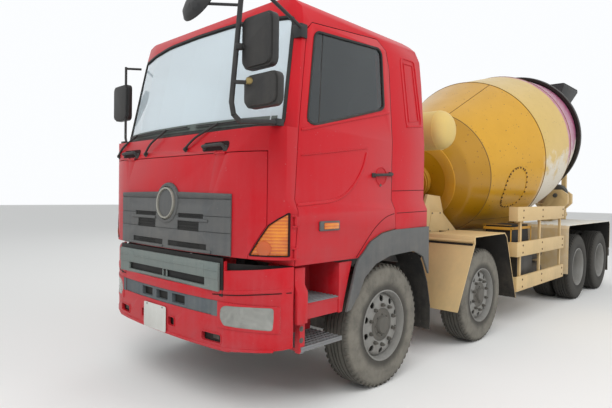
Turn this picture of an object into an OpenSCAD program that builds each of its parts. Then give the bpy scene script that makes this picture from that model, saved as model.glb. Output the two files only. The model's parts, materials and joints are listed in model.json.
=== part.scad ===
// Concrete mixer truck: right-hand drive, four axles, tilt cab, rear discharge.
// Millimetres. +X is forward, +Y is the truck's left, +Z is up, and the wheels stand on Z = 0.
// Places along the truck are measured from the first axle, and place() moves them so that
// the middle of the truck's length is at X = 0.

/* [Whole truck] */
// How far the mirror arms reach in front of the first axle
front_reach = 1800; // [1650:10:2100]
// How far the chute's lip reaches behind the first axle
rear_reach = 8260; // [8000:10:9000]
// Width over the rear twin tyres and the fenders
body_w = 2480; // [2400:10:2550]
// Top of the chassis side rails above the ground
frame_top = 980; // [960:5:1020]
// Height of the chassis side rails
rail_h = 280; // [220:5:300]
// Outer face of a side rail from the truck's middle
rail_y = 430; // [400:5:450]
// Height of the mixer's subframe on the rails
sub_h = 110; // [80:5:130]

/* [Axles and wheels] */
// First to second steered axle
axle_2 = 1900; // [1850:10:2000]
// First axle to first driven axle
axle_3 = 5350; // [5200:10:5500]
// First driven axle to second driven axle
tandem = 1310; // [1250:10:1400]
// Outer radius of a tyre
tyre_r = 518; // [500:2:530]
// Width of one tyre
tyre_w = 276; // [250:2:290]
// Radius of the rim's edge
rim_r = 300; // [290:2:310]
// Outer face of a steered tyre from the truck's middle
steer_face = 1175; // [1150:5:1200]
// Gap between twin tyres
twin_gap = 50; // [30:2:70]
// Radius of the steered wheels' spindles
spindle_r = 42; // [35:1:50]
// Hand holes in a rim's disc
hand_holes = 10; // [6:1:12]

/* [Cab] */
// Width of the cab
cab_w = 2400; // [2350:10:2450]
// Front skin of the cab in front of the first axle
cab_nose = 1385; // [1370:5:1395]
// Rear wall of the cab behind the first axle
cab_back = 610; // [550:5:700]
// Lower edge of the doors and sills
sill_z = 1125; // [1120:1:1140]
// Foot of the windscreen
belt_z = 2070; // [2040:5:2120]
// Top of the roof
roof_z = 3060; // [3000:5:3200]
// Thickness of the cab's walls
wall = 45; // [30:1:60]
// Thickness of a door
door_t = 70; // [60:1:90]
// Gap around the doors and the front lid
door_gap = 6; // [5:1:9]

/* [Drum] */
// Tilt of the drum's axis in degrees
drum_tilt = 14.3; // [13.5:0.1:15]
// Largest radius of the drum
drum_r = 1160; // [1100:5:1180]
// Plate thickness of the drum's shell
drum_plate = 12; // [8:1:20]
// Place of the drum's datum behind the first axle
drum_x = 2000; // [1950:10:2050]
// Height of the drum's axis at its datum
drum_z = 1735; // [1720:5:1780]
// Running radius of the track ring
ring_r = 1090; // [1060:5:1110]
// Radius of the two support rollers
roller_r = 150; // [120:5:170]
// Height of the spiral blades inside the drum
blade_h = 260; // [150:10:320]

/* [Bodywork] */
// Plate thickness of the fenders
fender_t = 12; // [8:1:20]
// Thickness of the side guards' planks
plank_t = 32; // [20:1:45]
// Radius of the water tank
tank_r = 215; // [180:5:240]
// Length of the water tank across the truck
tank_l = 1960; // [1700:10:2100]
// Height of the water tank's middle
tank_z = 2345; // [2300:5:2450]
// Inside radius of the chute's trough
trough_r = 200; // [160:5:230]

/* [Hidden] */
$fn = 64;

// Gap between seated pieces and around pins
seat = 0.3;
shift_x = (rear_reach - front_reach) / 2;

// Chassis
rail_t = 10;
flange = 90;
rail_low = frame_top - rail_h;
sub_top = frame_top + sub_h;
sub_in = rail_y - 80;
sub_out = rail_y - 5;
rail_front = 1150;
rail_rear = -7600;
rib_low = frame_top - 130;
rib_h = 100;

// Axles
axle_4 = axle_3 + tandem;
steer_y = steer_face - tyre_w / 2;
king_y = steer_face - tyre_w - 28;
king_r = 26;
boss_r = 58;
boss_low = tyre_r - 60;
boss_high = tyre_r + 55;
twin_out = body_w / 2 - tyre_w / 2;
twin_in = twin_out - tyre_w - twin_gap;
twin_mid = (twin_out + twin_in) / 2;
casing_r = 75;

// Cab tilt hinge, front beam and tow eyes
tilt_x = 1340;
tilt_z = 940;
hinge_pin_r = 20;
beam_x = rail_front + seat;
beam_y = 1040;
beam_z = 548;
tow_r = 21;
tow_t = 30;
tow_x = 1330;
tow_y = 655;
tow_rear_z = frame_top - 110;

// Bumper
bumper_nose = cab_nose + 40;
bumper_back = 1122;
bumper_top = sill_z + 10;
bumper_low = 500;
bumper_t = 28;
lip_z = 920;
band_y = 640;
band_z = [740, 850];
lamp_y = [700, 1130];
lamp_z = [668, 842];

// Cab
cab_y = cab_w / 2;
nose_z = sill_z + 40;
lid_top = 1900;
side_y = cab_y - 40;
corner_x = 1152;
corner_y = 930;
round_x = 1040;
round_y = 760;
tunnel_y = 480;
tunnel_z = 1520;
arch_z = 1335;
screen_lean = 12.4;
hinge_x = 1123;
hinge_y = cab_y + 3;
lid_y = 1060;
lid_hinge_x = cab_nose - 37;
lid_hinge_z = lid_top + 3;
pin_r = 5;
door_hinges = [sill_z + 55, sill_z + 275];
lid_hinges = [-700, 600];

// Drum and its stands
ring_s = 3980;
ring_w = 90;
drum_end = 5050;
roller_a = 33;
roller_d = ring_r + roller_r + seat;
roller_x = -drum_x - ring_s * cos(drum_tilt) - roller_d * cos(roller_a) * sin(drum_tilt);
roller_y = roller_d * sin(roller_a);
roller_z = drum_z + ring_s * sin(drum_tilt) - roller_d * cos(roller_a) * cos(drum_tilt);
shaft_r = 35;
cradle_z = 1500;
cradle_t = 40;
post_x = -7300;
post_y = 400;
post_w = 80;
hopper_bar_z = 2990;
firewall_x = 1175;

// Chute
chute_x = -7400;
chute_z = 1640;
chute_tilt = 24;
chute_t = 8;
chute_pin_r = 30;
ear = 14;
chute_l = (rear_reach + chute_x - ear * sin(chute_tilt)) / cos(chute_tilt) - ear;
fender_out = body_w / 2;
mirror_r = 16;
POLE = [[1240, 1120, belt_z + 22], [1620, 1205, belt_z - 22], [1675, 1216, belt_z + 10], [1692, 1216, belt_z + 80],
    [1612, 1216, 2950]];

// Colours, as the photo shows them
RED = [0.78, 0.13, 0.19];
GREY = [0.45, 0.46, 0.47];
DARK = [0.17, 0.18, 0.19];
BEIGE = [0.82, 0.70, 0.48];
YELLOW = [0.87, 0.66, 0.15];
CREAM = [0.85, 0.75, 0.45];
BLACK = [0.10, 0.10, 0.10];
RUBBER = [0.20, 0.19, 0.18];
SILVER = [0.62, 0.61, 0.58];
AMBER = [0.90, 0.45, 0.10];
CLEAR = [0.75, 0.80, 0.80, 0.5];

// Moves what is measured from the first axle to its place in the truck
module place() translate([shift_x, 0, 0]) children();

// The same thing on the left and on the right
module both_sides() {
    children();
    mirror([0, 1, 0]) children();
}

// A block from its lowest to its highest corner
module block(x, y, z)
    translate([x[0], y[0], z[0]]) cube([x[1] - x[0], y[1] - y[0], z[1] - z[0]]);

// A side view outline, in X and Z, as a plate between two widths
module side_plate(points, y0, y1)
    translate([0, y1, 0]) rotate([90, 0, 0]) linear_extrude(y1 - y0) polygon(points);

// A front view outline, in Y and Z, run between two lengths
module run_along(points, x0, x1)
    translate([x0, 0, 0]) rotate([90, 0, 90]) linear_extrude(x1 - x0) polygon(points);

// A plan view outline, in X and Y, raised between two heights
module raise(points, z0, z1) translate([0, 0, z0]) linear_extrude(z1 - z0) polygon(points);

// Rods along each direction
module rod_x(r, x0, x1, y, z)
    translate([x0, y, z]) rotate([0, 90, 0]) cylinder(r = r, h = x1 - x0);
module rod_y(r, x, y0, y1, z)
    translate([x, y0, z]) rotate([-90, 0, 0]) cylinder(r = r, h = y1 - y0);
module rod_z(r, x, y, z0, z1) translate([x, y, z0]) cylinder(r = r, h = z1 - z0);

function turned_back(points) = [for (i = [len(points) - 1 : -1 : 0]) points[i]];
function mirrored(half) = concat(turned_back(half), [for (p = half) if (p[1] > 0) [p[0], -p[1]]]);

// Chassis frame

module side_rail() {
    block([rail_rear, rail_front], [rail_y - rail_t, rail_y], [rail_low, frame_top]);
    for (z = [rail_low, frame_top - rail_t])
        block([rail_rear, rail_front], [rail_y - flange, rail_y], [z, z + rail_t]);
}

// Places of the cross members, from the front
CROSS = [1060, -1430, -2650, -3450, -4650, -6005, -7100, -7560];

module frame_rails() color(DARK) place() both_sides() side_rail();

// Cross members between the rails, the last one with the rear tow eye
module cross_members() color(DARK) place() {
    half = rail_y - rail_t - seat;
    for (x = CROSS) block([x - 35, x + 35], [-half, half], [rib_low, rib_low + rib_h]);
    difference() {
        block([rail_rear - 80, rail_rear + 10], [-42, 42], [tow_rear_z, tow_rear_z + tow_t]);
        rod_z(tow_r, rail_rear - 40, 0, tow_rear_z - 5, tow_rear_z + tow_t + 5);
    }
}

// Beam on the rails' front ends, with the cab's hinges, the bumper's feet and the tow eyes
module front_beam() color(DARK) place() difference() {
    union() {
        block([beam_x, beam_x + 60], [-beam_y, beam_y], [beam_z, beam_z + 70]);
        both_sides() {
            block([beam_x, beam_x + 60], [rail_y - 52, rail_y], [beam_z, tilt_z + 30]);
            block([beam_x, tilt_x + 36], [rail_y - 52, rail_y - 10], [tilt_z - 60, tilt_z + 30]);
            rod_y(hinge_pin_r - seat, tilt_x, rail_y - 30, rail_y + 54, tilt_z);
            block([beam_x + 20, bumper_nose - bumper_t - 7], [250, 290], [beam_z, beam_z + 60]);
            block([beam_x + 30, tow_x + 36], [tow_y - 36, tow_y + 36], [beam_z + 20, beam_z + 20 + tow_t]);
        }
    }
    both_sides() rod_z(tow_r, tow_x, tow_y, beam_z, beam_z + 90);
}

module mixer_subframe() color(BEIGE) place() {
    both_sides() block([rail_rear, -1430], [sub_in, sub_out], [frame_top + seat, sub_top]);
    for (x = [-1500, -3000, -4200, -5350, -6500])
        block([x - 40, x + 40], [-sub_in - 5, sub_in + 5], [frame_top + 10, sub_top - 10]);
    block([chute_x - 90, chute_x + 90], [-sub_in - 5, sub_in + 5], [frame_top + 10, sub_top - 10]);
}

module engine_block() color(DARK) place() {
    block([-520, 700], [-rail_y + flange + 10, rail_y - flange - 10], [640, 1440]);
    for (x = [-350, 500]) both_sides()
        block([x - 60, x + 60], [300, rail_y - rail_t - seat], [820, 880]);
}

module gearbox() color(GREY) place() {
    rod_x(250, -760, -520 - seat, 0, 860);
    rod_x(190, -1330, -759, 0, 840);
    rod_x(60, -1350, -1329, 0, 780);
    block([-1300, -1200], [-rail_y + rail_t + seat, rail_y - rail_t - seat], [850, 900]);
}

module radiator() color(BLACK) place() {
    difference() {
        block([830, 920], [-320, 320], [720, 1490]);
        block([900, 930], [-290, 290], [760, 1450]);
    }
    block([850, 900], [-rail_y + rail_t + seat, rail_y - rail_t - seat], [760, 820]);
}

// Bumper and what it holds

// Setback of the bumper's face behind its nose, at each width, and the way the face looks there
BEND = [[0, 0], [8, 350], [28, 620], [48, 760], [74, 850], [109, 930], [144, 1000], [197, 1090],
    [245, 1150], [295, 1190]];
function bend_way(i) = let (a = BEND[max(i - 1, 0)], b = BEND[min(i + 1, len(BEND) - 1)], v = b - a)
    [v[1], i == 0 ? 0 : v[0]] / norm(v);

// Left half of the bumper's plan, moved in by a distance
function bumper_half(d) = [for (i = [0 : len(BEND) - 1])
    [bumper_nose - BEND[i][0], BEND[i][1]] - d * bend_way(i)];
function bumper_plan(d, back) = let (half = bumper_half(d), y = half[len(BEND) - 1][1])
    concat([[back, y]], mirrored(half), [[back, -y]]);

// A band of the bumper's face between two depths and two heights
module bumper_face(d0, d1, z) difference() {
    raise(bumper_plan(d0, bumper_back), z[0], z[1]);
    raise(bumper_plan(d1, bumper_back - 50), z[0] - 5, z[1] + 5);
}

module front_bumper() color(RED) place() difference() {
    bumper_face(0, bumper_t, [bumper_low, bumper_top]);
    // the middle is low, for the lower grille
    block([1250, 1500], [-750, 750], [lip_z, bumper_top + 10]);
    // the corners rise towards the back
    both_sides() side_plate([[1050, 480], [1450, 480], [1390, 500], [1130, 565], [1050, 585]], 800, 1300);
    block([1250, 1500], [-band_y, band_y], band_z);
    both_sides() block([1130, 1500], lamp_y, lamp_z);
    both_sides() block([1250, 1500], [tow_y - 45, tow_y + 45], [555, 612]);
    // room for the cab's lower edge
    both_sides() block([1050, 1133], [1100, 1300], [sill_z - 5, bumper_top + 10]);
}

module bumper_band() color(GREY) place() difference() {
    intersection() {
        bumper_face(4, bumper_t + 12, [band_z[0] + seat, band_z[1] - seat]);
        block([1250, 1500], [-band_y + seat, band_y - seat], band_z);
    }
    for (y = [-232, 0, 232]) block([1300, 1500], [y - 85, y + 85], [band_z[0] + 20, band_z[1] - 20]);
}

module lower_grille() color(GREY) place() {
    block([cab_nose + 3, bumper_nose - 12], [-720, 720], [1005, bumper_top - 14]);
    both_sides() block([cab_nose + 3, bumper_nose - 16], [560, 720], [lip_z + seat, 1010]);
    block([cab_nose + 3, bumper_nose - 16], [-565, 565], [lip_z + seat, lip_z + 25]);
}

module headlamps() color(CLEAR) place() both_sides() intersection() {
    block([1130, 1450], [lamp_y[0] + seat, lamp_y[1] - seat], [lamp_z[0] + seat, lamp_z[1] - seat]);
    bumper_face(2, 80, [600, 900]);
}

// Axles, springs and shafts

module steer_axles() color(DARK) place() for (x = [0, -axle_2]) {
    block([x - 45, x + 45], [-rail_y - 80, rail_y + 80], [tyre_r - 150, tyre_r - 40]);
    both_sides() difference() {
        union() {
            run_along([[rail_y + 70, tyre_r - 150], [king_y - 90, boss_low], [king_y, boss_low],
                [king_y, boss_high], [king_y - 90, boss_high], [rail_y + 70, tyre_r - 40]], x - 45, x + 45);
            rod_z(boss_r, x, king_y, boss_low, boss_high);
        }
        rod_z(king_r, x, king_y, boss_low - 10, boss_high + 10);
    }
}

module drive_axles() color(DARK) place() for (x = [-axle_3, -axle_4]) {
    rod_y(casing_r, x, -twin_in - 60, twin_in + 60, tyre_r);
    rod_y(spindle_r - seat, x, -twin_out + 20, twin_out - 20, tyre_r);
    rod_x(235, x - 90, x + 90, 0, tyre_r);
    rod_x(110, x + 80, x + 330, 0, tyre_r + 20);
}

// Rise of a leaf from its middle, level over the last 110 mm
function leaf_rise(u, half, rise) = rise * pow(min(abs(u), half - 110) / half, 2);

// Outline of a pack of leaves, longest on top, each a step shorter than the one above
function leaf_pack(half, rise, t, n, step) = concat(
    [for (u = [-half, 110 - half, -half / 2, -half / 4, 0, half / 4, half / 2, half - 110, half])
        [u, t * n + leaf_rise(u, half, rise)]],
    [for (i = [0 : n - 1]) for (e = [0, 1]) let (u = half - step * (i + e))
        [u, t * (n - 1 - i) + (i + e == n ? 0 : leaf_rise(u, half, rise))]],
    [for (i = [n - 1 : -1 : 0]) for (e = [1, 0]) let (u = half - step * (i + e))
        [-u, t * (n - 1 - i) + (i + e == n ? 0 : leaf_rise(u, half, rise))]]);

module leaf_springs() color(DARK) place() both_sides() {
    // steered axles, under the rails
    half = 700;
    eye_z = tyre_r - 40 + 4 * 18 + leaf_rise(half, half, 70) - 9;
    for (x = [0, -axle_2]) {
        translate([x, 0, tyre_r - 40 + seat])
            side_plate(leaf_pack(half, 70, 18, 4, 130), rail_y - 85, rail_y - 15);
        for (s = [-1, 1]) difference() {
            union() {
                rod_y(30, x + s * (half + 15), rail_y - 85, rail_y - 15, eye_z);
                block([x + s * (half + 15) - 30, x + s * (half + 15) + 30], [rail_y - 85, rail_y - 15],
                    [eye_z, rail_low - seat]);
            }
            rod_y(12, x + s * (half + 15), rail_y - 90, rail_y, eye_z);
        }
    }
    // driven axles: an upturned spring on a trunnion between them, its ends on the casings
    mid = -(axle_3 + axle_4) / 2;
    low = tyre_r + casing_r + seat;
    long = tandem / 2 + 50;
    pad = 6 * 20 + leaf_rise(long, long, 60);
    translate([mid, 0, low + pad]) mirror([0, 0, 1])
        side_plate(leaf_pack(long, 60, 20, 6, 95), rail_y + 20, rail_y + 100);
    rod_y(60, mid, rail_y + seat, rail_y + 115, low + 15);
    block([mid - 90, mid + 90], [rail_y + seat, rail_y + 19], [low - 50, frame_top - 80]);
}

module propshafts() color(GREY) place() {
    rod_x(55, -3450, -1350 - seat, 0, 780);
    rod_x(68, -3500, -3450, 0, 780);
    block([-3485, -3465], [-40, 40], [800, rib_low - seat]);
    hull() {
        rod_x(55, -3520, -3500, 0, 780);
        rod_x(55, -axle_3 + 330 + seat, -axle_3 + 350, 0, tyre_r + 20);
    }
    rod_x(50, -axle_4 + 330 + seat, -axle_3 - 90 - seat, 0, tyre_r + 20);
}

// Knuckles and wheels

module knuckle(x) color(DARK) {
    for (z = [[boss_high + 1, boss_high + 45], [boss_low - 45, boss_low - 1]])
        block([x - 50, x + 50], [king_y - 50, king_y + boss_r + 38], z);
    block([x - 50, x + 50], [king_y + boss_r + 2, king_y + boss_r + 38], [boss_low - 45, boss_high + 45]);
    rod_z(king_r - seat, x, king_y, boss_low - 45, boss_high + 45);
    rod_y(spindle_r - seat, x, king_y + boss_r + 30, steer_y + 110, tyre_r);
    // steering arm
    block([x - 260, x - 40], [king_y - 30, king_y + 10], [boss_low - 45, boss_low - 15]);
}

// Tyre about the Z axis, outer face up
module tyre() color(RUBBER) rotate_extrude() {
    half = tyre_w / 2;
    mid = (rim_r + tyre_r) / 2;
    right = [[rim_r - 14, half - 24], [rim_r + 6, half - 14], [rim_r + 40, half - 6], [mid, half],
        [tyre_r - 60, half - 4], [tyre_r - 26, half - 14], [tyre_r - 8, half - 28], [tyre_r, half - 48]];
    polygon(concat([for (p = right) [p[0], -p[1]]], turned_back(right)));
}

// Rim about the Z axis: a barrel, and a pierced disc from its foot on the barrel to its face
module rim(foot, face) color(SILVER) {
    edge = tyre_w / 2 - 24;
    in_r = rim_r - 30;
    difference() {
        union() {
            rotate_extrude() polygon([[in_r, -edge - 8], [rim_r - 8, -edge - 8], [rim_r - 14 - seat, -edge],
                [rim_r - 14 - seat, edge], [rim_r - 8, edge + 8], [in_r, edge + 8]]);
            rotate_extrude() polygon([[in_r + 5, foot], [in_r - 30, foot + (face - foot) * 0.3],
                [in_r - 60, foot + (face - foot) * 0.75], [in_r - 90, face], [140, face + 4],
                [140, face - 12], [in_r - 92, face - 14], [in_r - 66, foot + (face - foot) * 0.75 - 12],
                [in_r - 34, foot + (face - foot) * 0.3 - 12], [in_r + 5, foot - 13]]);
        }
        for (i = [0 : hand_holes - 1]) rotate(360 * i / hand_holes)
            translate([in_r - 48, 0, min(foot, face) - 40]) cylinder(r = 27, h = 80 + abs(face - foot));
    }
}

// Hub with its brake drum about the Z axis, from the drum's rim to the cap
module hub(low, face, cap) color(SILVER) {
    rotate_extrude() polygon([[spindle_r, low + 90], [195, low + 90], [195, low], [208, low],
        [208, low + 105], [140, low + 105], [140, face + 4 - seat], [110, face + 8], [100, cap - 30], [84, cap],
        [spindle_r, cap]]);
}

module steered_wheel(x) translate([x, steer_y, tyre_r]) rotate([-90, 0, 0]) {
    tyre();
    rim(52, 92);
    hub(-75, 92, 128);
}

module twin_wheels(x) {
    half = (twin_out - twin_in) / 2;
    translate([x, twin_out, tyre_r]) rotate([-90, 0, 0]) { tyre(); rim(-70, -half + 14 + seat); }
    translate([x, twin_in, tyre_r]) rotate([90, 0, 0]) { tyre(); rim(-70, -half + 14 + seat); }
    translate([x, twin_mid, tyre_r]) rotate([-90, 0, 0]) difference() {
        hub(-215, 14, 110);
        translate([0, 0, -300]) cylinder(r = casing_r + 5, h = 220);
    }
}

module knuckle_1l() place() knuckle(0);
module knuckle_1r() place() mirror([0, 1, 0]) knuckle(0);
module knuckle_2l() place() knuckle(-axle_2);
module knuckle_2r() place() mirror([0, 1, 0]) knuckle(-axle_2);
module wheel_1l() place() steered_wheel(0);
module wheel_1r() place() mirror([0, 1, 0]) steered_wheel(0);
module wheel_2l() place() steered_wheel(-axle_2);
module wheel_2r() place() mirror([0, 1, 0]) steered_wheel(-axle_2);
module wheels_3l() place() twin_wheels(-axle_3);
module wheels_3r() place() mirror([0, 1, 0]) twin_wheels(-axle_3);
module wheels_4l() place() twin_wheels(-axle_4);
module wheels_4r() place() mirror([0, 1, 0]) twin_wheels(-axle_4);

// Drum, its drive and its stands

// Moves a thing drawn along +Z to the drum's axis, which runs back and up
module on_drum_axis() translate([-drum_x, 0, drum_z]) rotate([0, -90 + drum_tilt, 0]) children();

// Outline of the drum: place along its axis, radius, and how far the inner skin moves in each
DRUM = [[400, 0, 14, 0], [400, 300, 14, 0], [440, 520, 13, 5], [560, 700, 9, 9], [850, 850, 4, 12],
    [1990, drum_r, 2, drum_plate], [3165, drum_r, -2, drum_plate], [4050, ring_r - 85, -3, drum_plate],
    [drum_end, 560, 0, drum_plate]];

module drum_shell() color(YELLOW) place() on_drum_axis() {
    rotate_extrude() polygon(concat([for (p = DRUM) [p[1], p[0]]],
        [for (i = [len(DRUM) - 1 : -1 : 0]) let (p = DRUM[i]) [p[1] - p[3], p[0] + p[2]]]));
    // track ring on its web
    rotate_extrude() polygon([[ring_r, ring_s - ring_w / 2], [ring_r, ring_s + ring_w / 2],
        [ring_r - 40, ring_s + ring_w / 2], [ring_r - 50, ring_s + 14], [ring_r - 82, ring_s + 14],
        [ring_r - 78, ring_s - 14], [ring_r - 50, ring_s - 14], [ring_r - 40, ring_s - ring_w / 2]]);
}

// Radius of the drum's inner skin at a place along its axis
function skin(s) = lookup(s, [for (i = [4 : 8]) [DRUM[i][0] + DRUM[i][2], DRUM[i][1] - DRUM[i][3]]]);

// Two spiral blades that mix when the drum turns one way and empty it when it turns back
module drum_blades() color(YELLOW) place() on_drum_axis() {
    s0 = 900;
    s1 = drum_end - 60;
    turns = 2.25;
    n = 54;
    for (start = [0, 180]) {
        rows = [for (i = [0 : n]) let (s = s0 + (s1 - s0) * i / n, a = start + 360 * turns * i / n,
            t = 8, r = min(skin(s), skin(s + t)) - 0.9, h = min(blade_h, r * 0.32))
            for (q = [[r, s], [r, s + t], [r - h, s + t + 30], [r - h, s + 30]])
                [q[0] * cos(a), q[0] * sin(a), q[1]]];
        polyhedron(rows, concat(
            [for (i = [0 : n - 1]) for (k = [0 : 3]) let (m = (k + 1) % 4)
                for (f = [[4 * i + k, 4 * i + 4 + k, 4 * i + 4 + m], [4 * i + k, 4 * i + 4 + m, 4 * i + m]]) f],
            [[0, 1, 2], [0, 2, 3], [4 * n + 2, 4 * n + 1, 4 * n], [4 * n + 3, 4 * n + 2, 4 * n]]));
    }
}

module drum_gearbox() color(YELLOW) place() {
    on_drum_axis() {
        translate([0, 0, 330]) cylinder(r = 230, h = 70 - seat);
        translate([0, 0, 60]) cylinder(r = 190, h = 271);
        translate([0, 0, -200]) cylinder(r = 110, h = 261);
    }
    block([-drum_x - 300, -drum_x - 60], [-150, 150], [cradle_z + cradle_t + seat, cradle_z + 220]);
}

module drum_stand_front() color(BEIGE) place() {
    both_sides() difference() {
        side_plate([[-2900, sub_top + seat], [-1850, sub_top + seat], [-1960, cradle_z + 20], [-2020, cradle_z + 140],
            [-2330, cradle_z + 120], [-2420, 1400]], sub_in + 10, sub_out - 25);
        side_plate([[-2560, 1190], [-2080, 1190], [-2130, 1400], [-2330, 1400]], 300, 500);
    }
    block([-2320, -2040], [-sub_in - 15, sub_in + 15], [cradle_z, cradle_z + cradle_t]);
    // posts and saddles of the water tank
    both_sides() difference() {
        union() {
            rod_z(34, -1500, sub_in + 37, sub_top + seat, tank_z - tank_r - 30);
            block([-1620, -1380], [sub_in, sub_out], [tank_z - tank_r - 40, tank_z - tank_r + 60]);
        }
        rod_y(tank_r + seat, -1500, 0, 1000, tank_z);
    }
}

// Runs along the shaft of the left roller
module on_roller() translate([roller_x, roller_y, roller_z]) rotate([0, -90 + drum_tilt, 0]) children();

STAND_LEG = [[sub_in, sub_top + seat], [sub_out, sub_top + seat], [roller_y + 200, roller_z - 180],
    [roller_y + 200, roller_z - 20], [roller_y + 90, roller_z + 60], [roller_y - 60, roller_z + 60],
    [roller_y - 200, roller_z - 160]];

module drum_stand_rear() color(BEIGE) place() {
    both_sides() {
        difference() {
            for (x = [-150, 75]) run_along(STAND_LEG, roller_x + x, roller_x + x + 75);
            on_roller() translate([0, 0, -250]) cylinder(r = shaft_r + seat, h = 500);
            on_roller() translate([0, 0, -65]) cylinder(r = roller_r + 12, h = 130);
        }
        block([post_x, post_x + post_w], [post_y, post_y + post_w], [sub_top + seat, hopper_bar_z + 80]);
        block([post_x, post_x + post_w], [sub_in, post_y + 10], [sub_top + seat, sub_top + 80]);
        side_plate([[post_x + 40, 1700], [post_x + 79, 1700], [roller_x - 60, sub_top + 120], [roller_x - 140, sub_top + 120]],
            post_y + 10, post_y + 50);
    }
    block([post_x, post_x + post_w], [-post_y - 10, post_y + 10], [hopper_bar_z, hopper_bar_z + 80]);
    both_sides() block([roller_x - 149, roller_x + 149], [sub_in, sub_out], [sub_top + seat, sub_top + 60]);
    both_sides() block([roller_x - 149, roller_x - 61], [sub_in, post_y + 50], [sub_top + 60, sub_top + 130]);
}

module drum_rollers() color(DARK) place() both_sides() on_roller() {
    translate([0, 0, -ring_w / 2 - 8]) cylinder(r = roller_r, h = ring_w + 16);
    translate([0, 0, -190]) cylinder(r = shaft_r, h = 380);
}

module water_tank() color(CREAM) place() {
    straight = tank_l / 2 - 70;
    rod_y(tank_r, -1500, -straight, straight, tank_z);
    both_sides() translate([-1500, straight - 1, tank_z]) rotate([-90, 0, 0]) rotate_extrude()
        polygon([[0, 0], [tank_r, 0], [tank_r - 12, 30], [tank_r - 50, 52], [tank_r - 110, 66], [0, 71]]);
}

// Fenders, guards, steps and boxes

// An arm from the side rail out to a fender's underside
module fender_arm(x, top, out) {
    block([x - 25, x + 25], [rail_y + seat, rail_y + 50], [frame_top - 90, top]);
    block([x - 25, x + 25], [rail_y + seat, out], [top - 45, top]);
}

module axle_2_fenders() color(BEIGE) place() both_sides() {
    x = -axle_2;
    t = fender_t;
    side_plate([[x + 726, 446], [x + 351, 1120], [x + 366, 1150], [x + 346, 1195], [x - 440, 1202],
        [x - 505, 1150], [x - 815, 386], [x - 815 + t, 386], [x - 505 + t, 1145], [x - 436, 1202 - t],
        [x + 338, 1195 - t], [x + 334, 1120], [x + 726 - t, 446]], 660, fender_out);
    fender_arm(x + 250, 1196 - t, 680);
    fender_arm(x - 390, 1196 - t, 680);
}

module rear_fenders() color(BEIGE) place() both_sides() {
    t = fender_t;
    front = -axle_3 + 570;
    back = -axle_4 - 660;
    difference() {
        side_plate([[front, 456], [front, 1150], [front - 50, 1206], [back + 50, 1206], [back, 1150], [back, 700],
            [back + t, 700], [back + t, 1145], [back + 55, 1206 - t], [front - 55, 1206 - t], [front - t, 1145], [front - t, 456]],
            rail_y + 70, fender_out);
        // room for the legs and posts of the rear stand
        block([roller_x - 160, roller_x + 160], [rail_y, rail_y + 200], [1100, 1250]);
        block([post_x - 60, post_x + post_w + 10], [rail_y, post_y + post_w + 10], [1000, 1250]);
    }
    for (x = [front - 60, -(axle_3 + axle_4) / 2 + 200, back + 160]) fender_arm(x, 1206 - t, rail_y + 90);
}

// Planks of a side guard: lowest and highest edge
PLANKS = [[450, 630], [880, 1060], [1320, 1500]];

module side_guards() color(BEIGE) place() both_sides() {
    for (z = PLANKS) {
        block([-4550, -2730], [fender_out - plank_t, fender_out], z);
        block([-2730 - plank_t, -2730], [fender_out - 110, fender_out - plank_t + 1], z);
    }
    for (x = [-2920, -3620, -4480]) {
        block([x - 25, x + 25], [fender_out - plank_t - 25, fender_out - plank_t + 1], [PLANKS[0][0], PLANKS[2][1]]);
        block([x - 25, x + 25], [rail_y + seat, fender_out - plank_t], [frame_top - 35, frame_top - 5]);
    }
}

module front_mudguards() color(GREY) place() both_sides() {
    side_plate([[-560, 1090], [-640, 985], [-735, 800], [-800, 560], [-800, 330], [-790, 330], [-788, 560],
        [-724, 795], [-630, 978], [-550, 1084]], 880, cab_y - 55);
    block([-655, -600], [rail_y + seat, 885], [930, 970]);
}

module step_boxes() color(RED) place() both_sides() {
    x0 = 640;
    x1 = 1060;
    z0 = sill_z - 20;
    y1 = cab_y - 5;
    // front bracket strip, bent out over the step
    run_along([[y1 - 45, z0], [y1 - 15, z0], [y1 - 15, 985], [y1 + 15, 940], [y1 + 15, 720], [y1 - 20, 720], [y1 - 20, 930],
        [y1 - 45, 975]], x1 - 60, x1 + 40);
    // sides, back and riser of the upper step
    block([x1 - 15, x1], [y1 - 320, y1 - 40], [730, z0]);
    side_plate([[480, z0], [x0, z0], [x0, 730], [590, 730], [565, 830]], y1 - 40, y1 - 12);
    block([x0 - 20, x0], [y1 - 320, y1 - 5], [730, z0]);
    block([x0 - 20, x1], [y1 - 330, y1 - 310], [540, z0]);
    block([x0 - 20, x1], [y1 - 35, y1 - 15], [735, 840]);
    // treads
    block([x0 - 20, x1], [y1 - 320, y1 - 10], [834, 850]);
    block([600, x1 - 10], [y1 - 320, y1], [518, 540]);
    // hanger of the lower tread
    block([x1 - 60, x1 - 10], [y1 - 60, y1 - 10], [505, 735]);
    // arms to the side rail
    for (x = [x0 + 60, x1 - 120])
        block([x, x + 50], [rail_y + seat, y1 - 320], [830, 900]);
}

module fuel_tank() color(GREY) place() {
    block([-4400, -3080], [-1130, -640], [430, 900]);
    for (x = [-3300, -4200]) block([x - 30, x + 30], [-645, -rail_y - seat], [730, 900]);
}

module battery_box() color(DARK) place() {
    block([-3560, -3020], [650, 1130], [480, 890]);
    block([-3300, -3240], [rail_y + seat, 655], [740, 860]);
    for (z = [550, 800]) rod_x(115, -4420, -3700, 860, z);
    for (x = [-4300, -3850]) block([x - 20, x + 20], [rail_y + seat, 800], [700, 790]);
    for (x = [-4300, -3850]) block([x - 20, x + 20], [780, 830], [560, 790]);
}

module silencer() color(DARK) place() {
    rod_x(165, -1165, -700, -650, 640);
    rod_x(45, -1260, -1164, -600, 600);
    for (x = [-1080, -860]) block([x, x + 40], [-560, -rail_y - seat], [730, 790]);
}

// Hopper, funnel, chute and the rear end

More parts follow.
